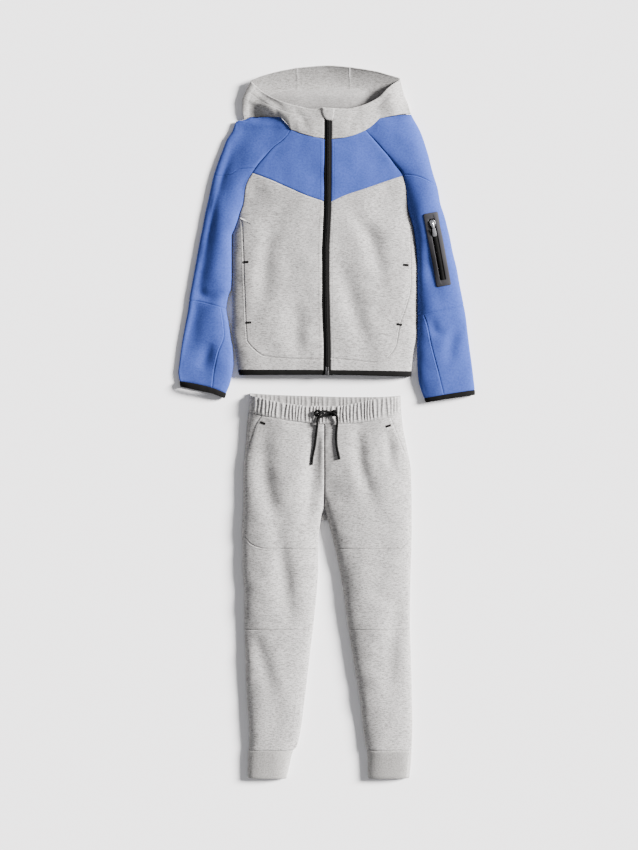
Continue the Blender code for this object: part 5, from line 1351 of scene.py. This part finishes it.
def addStitches():
    blueLines, greyLines, legLines = [], [], []
    for side, seams in torsoSeams.items():
        sign, at = seams["zipSide"], seams["zipAt"]
        blueLines.append(besideZip(sign, at["neck"] - 4, at["yoke"] + 8))
        greyLines.append(besideZip(sign, at["yoke"] + 1, 113))
        blueLines.append(besideSeam("torso", seams["yoke"], 2.8)[1 if sign > 0 else 0])
        greyLines.append(besideSeam("torso", seams["yoke"], 2.8)[0 if sign > 0 else 1])
        greyLines += besideSeam("torso", seams["pocket"][1:], 2.8)
        greyLines += besideSeam("torso", seams["hem"], 2.8)
    for side, seams in sleeveSeams.items():
        key = "sleeve_" + side
        blueLines += besideSeam(key, seams["shoulder"]) + besideSeam(key, seams["elbow"])
        blueLines += besideSeam(key, seams["forearm"])
    for side, seams in legSeams.items():
        key = "leg_" + side
        legLines += besideSeam(key, seams["thigh"]) + besideSeam(key, seams["knee"])
        pocket = along(seams["pocket"], even(60))[2:]
        legLines.append((key, shifted(pocket, 5.5 if side == "left" else -5.5)))
        waist = along(seams["waist"], even(60))[1:-1]
        legLines.append((key, waist - (0, 5.0)))
    stitches("jacket_blue_stitches", blueLines, "blueThread")
    stitches("jacket_grey_stitches", greyLines, "greyThread")
    stitches("joggers_stitches", legLines, "greyThread")


# Height of the cloth beside the zip, from the hem up over the collar.
def bandHeight(y):
    torso = tubes["torso"]
    middle = column(zipLine, 1, y)
    below = np.minimum(y, 580.0)
    s = torso.share(middle, below)
    low = torso.front(s, below) + relief(torso, middle, below, s)
    return low + (hoodShape["rimZip"] - low) * np.clip((y - 581) / 63, 0, 1)


zipper = {
    "profile": (
        (-11, -2.6), (-7.9, -2.4), (-7.2, -0.5), (-6.6, 0.15), (-5.9, 0.3), (-3.3, 0.3), (-2.8, 0.75),
        (-1.6, 1.0),
        (-0.5, 0.9), (0, 0.55), (0.5, 0.9), (1.6, 1.0), (2.8, 0.75), (3.3, 0.3), (5.9, 0.3), (6.6, 0.15),
        (7.2, -0.5), (7.9, -2.4), (11, -2.6),
    ),
    "top": 640.0, "bottom": 98.0, "pitch": 1.7,
}


def addZip():
    rows = np.linspace(zipper["top"], zipper["bottom"], 150)
    profile = np.array(zipper["profile"])
    x = column(zipLine, 1, rows)[:, None] + profile[None, :, 0]
    z = bandHeight(rows)[:, None] + profile[None, :, 1]
    outer = np.dstack([x, np.repeat(rows[:, None], len(profile), axis=1), z])
    inner = outer - (0, 0, 1.1)
    points = np.concatenate([outer.reshape(-1, 3), inner.reshape(-1, 3)])
    addMesh(
        "front_zip_tape", points, wallFaces(len(rows), len(profile)), "tape", "front_zip",
    )
    for side in (-1, 1):
        y = np.arange(zipper["top"] - 4, zipper["bottom"] + 16, -zipper["pitch"]) + side * zipper["pitch"] / 4
        middle = column(zipLine, 1, y)
        points = np.column_stack([middle + side * 1.25, y, bandHeight(y) + 1.0])
        alongs = np.tile((1.0, 0.18 * side, 0.0), (len(y), 1))
        ups = np.tile((0.0, 0.0, 1.0), (len(y), 1))
        repeated(
            "front_zip_coil_" + ("left" if side < 0 else "right"), "thread", points, alongs, ups,
            (3.4, 0.95, 0.9),
            "coil", 0.0,
        )


# Flat piece cut to an outline, rounded at its edges; place is a matrix in millimetres.
def slab(
    name, outline, thickness, bevel, material, place, node=None, body=garment, segments=3,
    hole=None
):
    form = bmesh.new()
    ring = [form.verts.new((x, y, -thickness / 2)) for x, y in outline]
    face = form.faces.new(ring)
    raised = bmesh.ops.extrude_face_region(form, geom=[face])["geom"]
    bmesh.ops.translate(
        form, vec=(0, 0, thickness), verts=[v for v in raised if isinstance(v, bmesh.types.BMVert)]
    )
    bmesh.ops.recalc_face_normals(form, faces=form.faces)
    rims = [e for e in form.edges if abs(e.verts[0].co.z - e.verts[1].co.z) < 1e-6]
    bmesh.ops.bevel(form, geom=rims, offset=bevel, segments=segments, profile=0.5, affect="EDGES")
    form.transform(place)
    return fromForm(name, form, material, node, body)


def fromForm(name, form, material, node=None, body=garment):
    shift = Vector((*originShift, 0.0))
    for vertex in form.verts:
        vertex.co = (vertex.co + shift) * mm
    mesh = bpy.data.meshes.new(name)
    form.to_mesh(mesh)
    form.free()
    mesh.shade_smooth()
    obj = finishPiece(name, mesh, material, node, body=body)
    return obj


def roundedRectangle(width, height, radius, steps=6):
    corners = ((1, 1, 0), (-1, 1, 90), (-1, -1, 180), (1, -1, 270))
    points = []
    for sx, sy, start in corners:
        for k in range(steps + 1):
            turn = math.radians(start + 90 * k / steps)
            points.append((
                sx * (width / 2 - radius) + radius * math.cos(turn),
                sy * (height / 2 - radius) + radius * math.sin(turn),
            ))
    return points


# Round rod along a path, its ends closed.
def sweep(name, path, radius, material, place=None, sides=10, body=garment, widths=None):
    path = np.asarray(path, float)
    tangent = np.gradient(path, axis=0)
    tangent /= np.linalg.norm(tangent, axis=1, keepdims=True)
    across = np.cross(tangent, (0.0, 0.0, 1.0))
    weak = np.linalg.norm(across, axis=1) < 0.2
    across[weak] = np.cross(tangent[weak], (0.0, 1.0, 0.0))
    across /= np.linalg.norm(across, axis=1, keepdims=True)
    up = np.cross(across, tangent)
    turn = np.linspace(0, 2 * np.pi, sides, endpoint=False)
    scale = np.ones(len(path)) if widths is None else np.asarray(widths)
    ring = np.cos(turn)[None, :, None] * across[:, None] + np.sin(turn)[None, :, None] * up[:, None]
    points = path[:, None] + radius * scale[:, None, None] * ring
    faces = gridFaces(len(path), sides, True).tolist()
    faces += [list(range(sides))[::-1], [len(path) * sides - sides + k for k in range(sides)]]
    flat = points.reshape(-1, 3)
    if place is not None:
        flat = np.array([place @ Vector(point) for point in flat])
    mesh = bpy.data.meshes.new(name)
    mesh.from_pydata(placed(flat).tolist(), [], faces)
    mesh.update()
    form = bmesh.new()
    form.from_mesh(mesh)
    bmesh.ops.recalc_face_normals(form, faces=form.faces)
    form.to_mesh(mesh)
    form.free()
    mesh.shade_smooth()
    return finishPiece(name, mesh, material, None, body=body)


def addPinBox():
    height = float(bandHeight(np.array(106.0)))
    for name, size, at, node in (
        ("zip_box", (7.4, 8.0, 2.6), (0.8, 102.6, 0.9), "zip_pin_box"),
        ("zip_pin_left", (1.7, 9.0, 2.0), (-1.2, 110.5, 1.0), None),
        ("zip_pin_right", (1.7, 9.0, 2.0), (2.7, 110.5, 1.0), None),
    ):
        place = Matrix.Translation((at[0], at[1], height + at[2]))
        slab(name, roundedRectangle(*size[:2], 0.7), size[2], 0.5, "pin", place, node)


def addChinGuard():
    outline = along((*chinGuard, chinGuard[0]), even(73))[:-1]
    middle = outline.mean(axis=0)
    rings, faces = [], []
    for share, lift in (
        (0.04, 1.9), (0.4, 1.9), (0.7, 1.8), (0.86, 1.5), (0.95, 1.0), (1.0, 0.3), (1.0, -0.5), (0.5, -0.6)
    ):
        xy = middle + share * (outline - middle)
        z = bandHeight(xy[:, 1]) + lift + 0.55
        rings.append(np.column_stack([xy, z]))
    count = len(outline)
    points = np.concatenate(rings)
    faces = gridFaces(len(rings), count, True).tolist() + [
        list(range(count)), list(range(7 * count, 8 * count))[::-1]
    ]
    addMesh("chin_guard_cloth", points, faces, "hood", "chin_guard")
    line = middle + 0.8 * (outline - middle)
    places = np.column_stack([line, bandHeight(line[:, 1]) + 2.2])[::2]
    alongs = np.roll(places, -1, axis=0) - np.roll(places, 1, axis=0)
    ups = np.tile((0.0, -0.3, 1.0), (len(places), 1))
    repeated("chin_guard_stitches", "thread", places, alongs, ups, (1.7, 0.45, 0.4), "greyThread")


# Sleeve pocket on the right sleeve: ends of its centre line, widths, lengths.
sleevePocket = {
    "start": (213, 430.7),
    "end": (240.8, 280.3),
    "width": 30.5,
    "channelWidth": 12.0,
    "channelMargin": 13.0,
    "lift": 0.5,
    "zipThick": 0.6,
}
pocketSlider = {
    "fromTop": 24.0,  # from the top of the frame to the middle of the slider
    "body": (11.0, 17.0, 2.6),
    "crown": (4.4, 13.0, 2.0),
    "pull": (9.6, 17.5, 1.2),
    "axisLift": 0.75,
    "axisOut": 0.75,
}


# The sleeve pocket, laid out across and along its own centre line.
pocket = {
    "edge": (
        (0, -0.3), (0.02, 0.35), (0.06, 0.75), (0.14, 0.9), (0.86, 0.95), (0.94, 0.8), (0.98, 0.4),
        (1, -0.3)
    ),
    "outerRadius": 3.2, "innerRadius": 1.6, "pitch": 1.5,
}


def pocketPlace(across, lengthwise, lift):
    start, end = np.array(sleevePocket["start"]), np.array(sleevePocket["end"])
    direction = (end - start) / np.linalg.norm(end - start)
    side = np.array((-direction[1], direction[0]))
    middle = (start + end) / 2
    x = middle[0] + across * side[0] + lengthwise * direction[0]
    y = middle[1] + across * side[1] + lengthwise * direction[1]
    return onTube(tubes["sleeve_right"], x, y, lift)


def addSleevePocket():
    length = float(np.linalg.norm(np.array(sleevePocket["end"]) - sleevePocket["start"]))
    hole = length - 2 * sleevePocket["channelMargin"]
    outerRing = np.array(roundedRectangle(sleevePocket["width"], length, pocket["outerRadius"], 8))
    innerRing = np.array(roundedRectangle(sleevePocket["channelWidth"], hole, pocket["innerRadius"], 8))
    outerRing, innerRing = (along((*ring, ring[0]), even(181))[:-1] for ring in (outerRing, innerRing))
    profile = np.array(pocket["edge"])
    across = innerRing[None, :, 0] + profile[:, 0, None] * (outerRing - innerRing)[None, :, 0]
    lengthwise = innerRing[None, :, 1] + profile[:, 0, None] * (outerRing - innerRing)[None, :, 1]
    outer, normals = pocketPlace(across, lengthwise, 0.55)
    outer = outer + profile[:, 1, None, None] * normals
    inner = pocketPlace(across, lengthwise, 0.2)[0]
    points = np.concatenate([outer.reshape(-1, 3), inner.reshape(-1, 3)])
    faces = wallFaces(*outer.shape[:2], closed=True, up=False)
    addMesh("pocket_frame_film", points, faces, "film", "pocket_frame")
    bed = np.array(
        (
            (-7.2, 0.3), (-3.0, 0.3), (-2.4, 0.7), (-1.4, 0.95), (0, 0.6), (1.4, 0.95), (2.4, 0.7),
            (3.0, 0.3), (7.2, 0.3)
        )
    )
    rows = np.linspace(-hole / 2 - 1.5, hole / 2 + 1.5, 60)
    outer, normals = pocketPlace(np.tile(bed[:, 0], (60, 1)), np.repeat(rows[:, None], len(bed), axis=1), 0.0)
    outer = outer + bed[None, :, 1, None] * normals
    points = np.concatenate([outer.reshape(-1, 3), (outer - 0.25 * normals).reshape(-1, 3)])
    addMesh("pocket_zip_tape", points, wallFaces(60, len(bed), up=False), "tape", "pocket_zip")
    y = np.arange(-hole / 2 + 1, hole / 2 - 1, pocket["pitch"])
    places, ups = pocketPlace(np.zeros_like(y), y, 1.0)
    beside = pocketPlace(np.ones_like(y), y, 1.0)[0]
    repeated("pocket_zip_coil", "thread", places, beside - places, ups, (4.6, 0.8, 0.7), "coil", 0.0)
    addSlider(length)


def addSlider(length):
    at = -length / 2 + pocketSlider["fromTop"]
    points, normals = pocketPlace(np.zeros(2), np.array((at, at + 1.0)), 0.0)
    up = Vector(normals[0])
    forward = Vector(points[1] - points[0])
    forward = (forward - up * forward.dot(up)).normalized()
    side = forward.cross(up)
    turn = Matrix((side, forward, up)).transposed().to_4x4()
    base = sleevePocket["lift"] + sleevePocket["zipThick"] + 0.55
    origin = Matrix.Translation(Vector(points[0])) @ turn
    width, reach, thick = pocketSlider["body"]
    shape = (
        (-2.0, reach / 2), (2.0, reach / 2), (2.9, reach / 2 - 3), (width / 2, -1.5),
        (width / 2, -reach / 2 + 2.2),
        (width / 2 - 2.4, -reach / 2), (0.9, -reach / 2), (0, -reach / 2 + 3.4), (-0.9, -reach / 2),
        (-width / 2 + 2.4, -reach / 2), (-width / 2, -reach / 2 + 2.2), (-width / 2, -1.5),
        (-2.9, reach / 2 - 3),
    )
    place = origin @ Matrix.Translation((0, 0, base + thick / 2))
    slab("slider_body", shape, thick, 0.55, "steel", place, "pocket_slider")
    top = base + thick
    arch = [
        (0, -6.0, top - 0.4), (0, -5.4, top + 0.9), (0, -3.2, top + 1.6), (0, 1.0, top + 1.75),
        (0, 5.4, top + 1.5), (0, 7.4, top + 0.8), (0, 8.0, top - 0.4),
    ]
    sweep("slider_bridge", arch, 1.25, "steel", origin)
    crownZ = base + pocketSlider["body"][2] + pocketSlider["crown"][2] / 2 - 0.2
    axisZ = crownZ + pocketSlider["crown"][2] / 2 + pocketSlider["axisLift"]
    axisY = pocketSlider["body"][1] / 2 + pocketSlider["axisOut"]
    rest = sleevePocket["lift"] + sleevePocket["zipThick"] + 0.45 + pocketSlider["pull"][2] / 2
    droop = math.asin((axisZ - rest) / pocketSlider["pull"][1])
    hinge = origin @ Matrix.Translation((0, axisY, axisZ)) @ Matrix.Rotation(-droop, 4, "X")
    length = pocketSlider["pull"][1]
    tab = (
        (-3.0, 0.4), (-2.4, -0.6), (2.4, -0.6), (3.0, 0.4), (3.6, 6), (4.4, length - 5),
        (4.2, length - 2.4), (2.4, length - 0.7),
        (-2.4, length - 0.7), (-4.2, length - 2.4), (-4.4, length - 5), (-3.6, 6),
    )
    slab(
        "pull_tab", tab[::-1], pocketSlider["pull"][2], 0.35, "tab", hinge, "pocket_pull",
        "pull_tab"
    )
    ridge = roundedRectangle(5.2, 7.5, 1.6)
    slab(
        "pull_grip", ridge, 0.5, 0.2, "tab",
        hinge @ Matrix.Translation((0, length * 0.62, pocketSlider["pull"][2] / 2 + 0.15)), body="pull_tab"
    )


bartack = (11.0, 5.0, 1.0)
bartacks = {
    "bartack_left_upper": ("torso", (-165, 330), 4),
    "bartack_left_lower": ("torso", (-159.5, 206), 4),
    "bartack_right_upper": ("torso", (163, 324), -4),
    "bartack_right_lower": ("torso", (149.5, 202), -8),
    "bartack_hip_left": ("leg_left", (-130.5, 0), -20),
    "bartack_hip_right": ("leg_right", (126.5, -6), 18),
}


def addBartacks():
    length, width, thickness = bartack
    for name, (tube, centre, angle) in bartacks.items():
        turn = math.radians(angle)
        lengthwise, side = np.array((math.cos(turn), math.sin(turn))), np.array(
            (-math.sin(turn), math.cos(turn))
        )
        at = np.arange(-length / 2 + 0.3, length / 2 - 0.2, 0.52)
        xy = np.array(centre) + at[:, None] * lengthwise
        points, normals = onTube(tubes[tube], *xy.T, 0.45)
        across = onTube(tubes[tube], *(xy + side).T, 0.45)[0] - points
        repeated(
            name + "_threads", "thread", points, across, normals, (width * 1.02, 0.78, 1.25), "blackThread",
            0.07, 5, name
        )


# Height of the trousers' front or of the waistband's gathers under the drawstring.
def lyingHeight(x, y):
    left, right, waist = tubes["leg_left"], tubes["leg_right"], tubes["waist"]
    bandZ = waist.front(np.clip(waist.share(x, y), 0, 1), y) + 1.1 * gatherDepth
    legY = np.minimum(y, 0.0)
    leftZ = onTube(left, np.minimum(x, -5.2), legY)[0][..., 2]
    rightZ = onTube(right, np.maximum(x, -4.0), legY)[0][..., 2]
    legZ = np.where(x < -4.6, leftZ, rightZ)
    blend = np.clip((y + 12) / 14, 0, 1)
    return np.maximum(legZ + blend * gatherDepth, np.where(y > -2, bandZ, 0))


# Each half of the drawstring: x, y and height over the cloth, from its eyelet to its cut end.
drawstring = {
    "right": (
        (-15.5, 18.5, 0.6), (-12.6, 21.5, 2.0), (-15.5, 25.0, 3.2), (-20.5, 24.6, 3.2), (-23.2, 20.2, 2.2),
        (-21.0, 15.6, 1.6),
        (-16.0, 15.0, 4.0), (-13.0, 19.0, 5.6), (-9.5, 23.4, 4.0), (-3, 24.0, 2.6), (4, 22.8, 2.6),
        (10.5, 20.6, 3.6),
        (16.5, 19.0, 6.6), (21.5, 14.0, 4.6), (22.2, 5, 1.4), (21.4, -6, 0.3), (20, -28, 0.3),
        (21, -48, 0.3), (24.2, -63.5, 0.3),
        (26.5, -74.5, 0.3),
    ),
    "left": (
        (17.4, 21.6, 0.6), (13.8, 24.6, 2.2), (11.4, 20.6, 2.4), (13.8, 16.0, 1.2), (19.0, 16.6, 2.0),
        (20.6, 22.0, 3.6),
        (15.6, 24.8, 4.6), (11.0, 19.6, 1.2), (5, 16.6, 0.7), (-4, 15.6, 0.5), (-12.0, 12.6, 0.7),
        (-17.6, 8.0, 0.6), (-19, -5.5, 0.3),
        (-21.5, -28, 0.3), (-24.5, -50, 0.3), (-28, -66, 0.3), (-30.5, -85.5, 0.3),
    ),
}
cordNodes = {"right": ("drawstring_knot", "drawstring_end_right"), "left": ("drawstring_end_left",)}


def smoothPath(points, count):
    points = np.asarray(points, float)
    run = np.concatenate([[0], np.cumsum(np.linalg.norm(np.diff(points, axis=0), axis=1))])
    padded = np.vstack([2 * points[0] - points[1], points, 2 * points[-1] - points[-2]])
    tangents = (padded[2:] - padded[:-2]) / (
        np.diff(run, prepend=run[0] - run[1] + run[0], append=2 * run[-1] - run[-2])[:-1]
        + np.diff(run, append=2 * run[-1] - run[-2])
    )[:, None]
    at = np.linspace(0, run[-1], count)
    k = np.clip(np.searchsorted(run, at, side="right") - 1, 0, len(points) - 2)
    span = (run[k + 1] - run[k])[:, None]
    t = ((at - run[k])[:, None]) / span
    h = (2 * t**3 - 3 * t**2 + 1, t**3 - 2 * t**2 + t, -2 * t**3 + 3 * t**2, t**3 - t**2)
    return h[0] * points[k] + h[1] * span * tangents[k] + h[2] * points[k + 1] + h[3] * span * tangents[k + 1]


drawstringWidth = 5.0


def addDrawstring():
    for side, route in drawstring.items():
        path = smoothPath(route, 150)
        path[:, 2] += lyingHeight(path[:, 0], path[:, 1]) + drawstringWidth / 2 - 0.6
        curve = bpy.data.curves.new("drawstring_" + side, "CURVE")
        curve.dimensions = "3D"
        curve.bevel_depth = drawstringWidth / 2 * mm
        curve.bevel_resolution = 4
        curve.use_fill_caps = True
        curve.materials.append(materials["cord"])
        spline = curve.splines.new("POLY")
        spline.points.add(len(path) - 1)
        for point, place in zip(spline.points, placed(path)):
            point.co = (*place, 1)
        spline.use_smooth = True
        obj = bpy.data.objects.new("drawstring_" + side, curve)
        bpy.context.scene.collection.objects.link(obj)
        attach(obj, garment)
        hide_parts(*cordNodes[side])


# Gusset patch in the crotch, in the darker grey finish as painted shade.
def addGusset():
    outline = ((-4.5, -179.5), (-9.0, -190.5), (-10.6, -199.5), (2.2, -199.5), (0.1, -190.5), (-4.0, -181))
    slab(
        "gusset_cloth_painted_shade", outline, 2.0, 0.4, "inner", Matrix.Translation((0, 0, 6.4)), "gusset",
    )


# Stitched fly on the front of the waistband and the stitching inside its back.
def addBandMarks():
    waist = tubes["waist"]
    lines = [((-2.6, 14), (-2.6, -4)), ((4.6, 14), (4.6, -4)), ((-2.6, 14), (4.6, 14))]
    found = []
    for line in lines:
        xy = along(line, even(max(4, int(np.linalg.norm(np.subtract(*line)) / 2.2))))
        z = waist.front(waist.share(*xy.T), xy[:, 1]) + gatherDepth * 0.95
        points = np.column_stack([xy, z])
        found.append((points, np.tile((*np.subtract(line[1], line[0]), 0.0), (len(points), 1))))
    points, alongs = (np.concatenate([row[k] for row in found]) for k in (0, 1))
    repeated(
        "fly_stitches", "thread", points, alongs, np.tile((0.0, 0.0, 1.0), (len(points), 1)),
        (1.9, 0.5, 0.45), "greyThread"
    )
    found = []
    for line in (((-29, 54), (-29, 42)), ((-12, 54), (-12, 42)), ((-29, 42), (-12, 42))):
        xy = along(line, even(max(4, int(np.linalg.norm(np.subtract(*line)) / 1.5))))
        s = waist.share(*xy.T)
        z = waist.height(back, s, xy[:, 1]) + cloth + gatherDepth * 0.6
        points = np.column_stack([xy, z])
        found.append((points, np.tile((*np.subtract(line[1], line[0]), 0.0), (len(points), 1))))
    points, alongs = (np.concatenate([row[k] for row in found]) for k in (0, 1))
    repeated(
        "label_stitches", "thread", points, alongs, np.tile((0.0, 0.0, 1.0), (len(points), 1)),
        (1.5, 0.7, 0.6), "darkThread"
    )


addZip()
addPinBox()
addChinGuard()
addSleevePocket()
addBartacks()
addDrawstring()
addGusset()
addStitches()
addBandMarks()
print("trims made")


def addStage():
    mesh = bpy.data.meshes.new("floor")
    mesh.from_pydata(
        [(-6, -6, -0.0004), (6, -6, -0.0004), (6, 6, -0.0004), (-6, 6, -0.0004)], [], [(0, 1, 2, 3)]
    )
    mesh.materials.append(materials["floor"])
    floor = bpy.data.objects.new("floor", mesh)
    bpy.context.scene.collection.objects.link(floor)
    sun = {"towards": (1.0, 0.3, 0.48), "strength": 22.5, "spread": 16, "colour": "#fffdfb"}
    data = bpy.data.lights.new("key", "SUN")
    data.energy = sun["strength"]
    data.angle = math.radians(sun["spread"])
    data.color = linear(sun["colour"])
    light = bpy.data.objects.new("key", data)
    light.location = [2 * value for value in sun["towards"]]
    light.rotation_euler = (-Vector(sun["towards"])).to_track_quat("-Z", "Y").to_euler()
    bpy.context.scene.collection.objects.link(light)
    world = bpy.data.worlds.new("studio")
    world.use_nodes = True
    world.node_tree.nodes["Background"].inputs["Color"].default_value = (*linear("#f2f3f6"), 1)
    world.node_tree.nodes["Background"].inputs["Strength"].default_value = 0.42
    bpy.context.scene.world = world


addStage()
print("stage made")
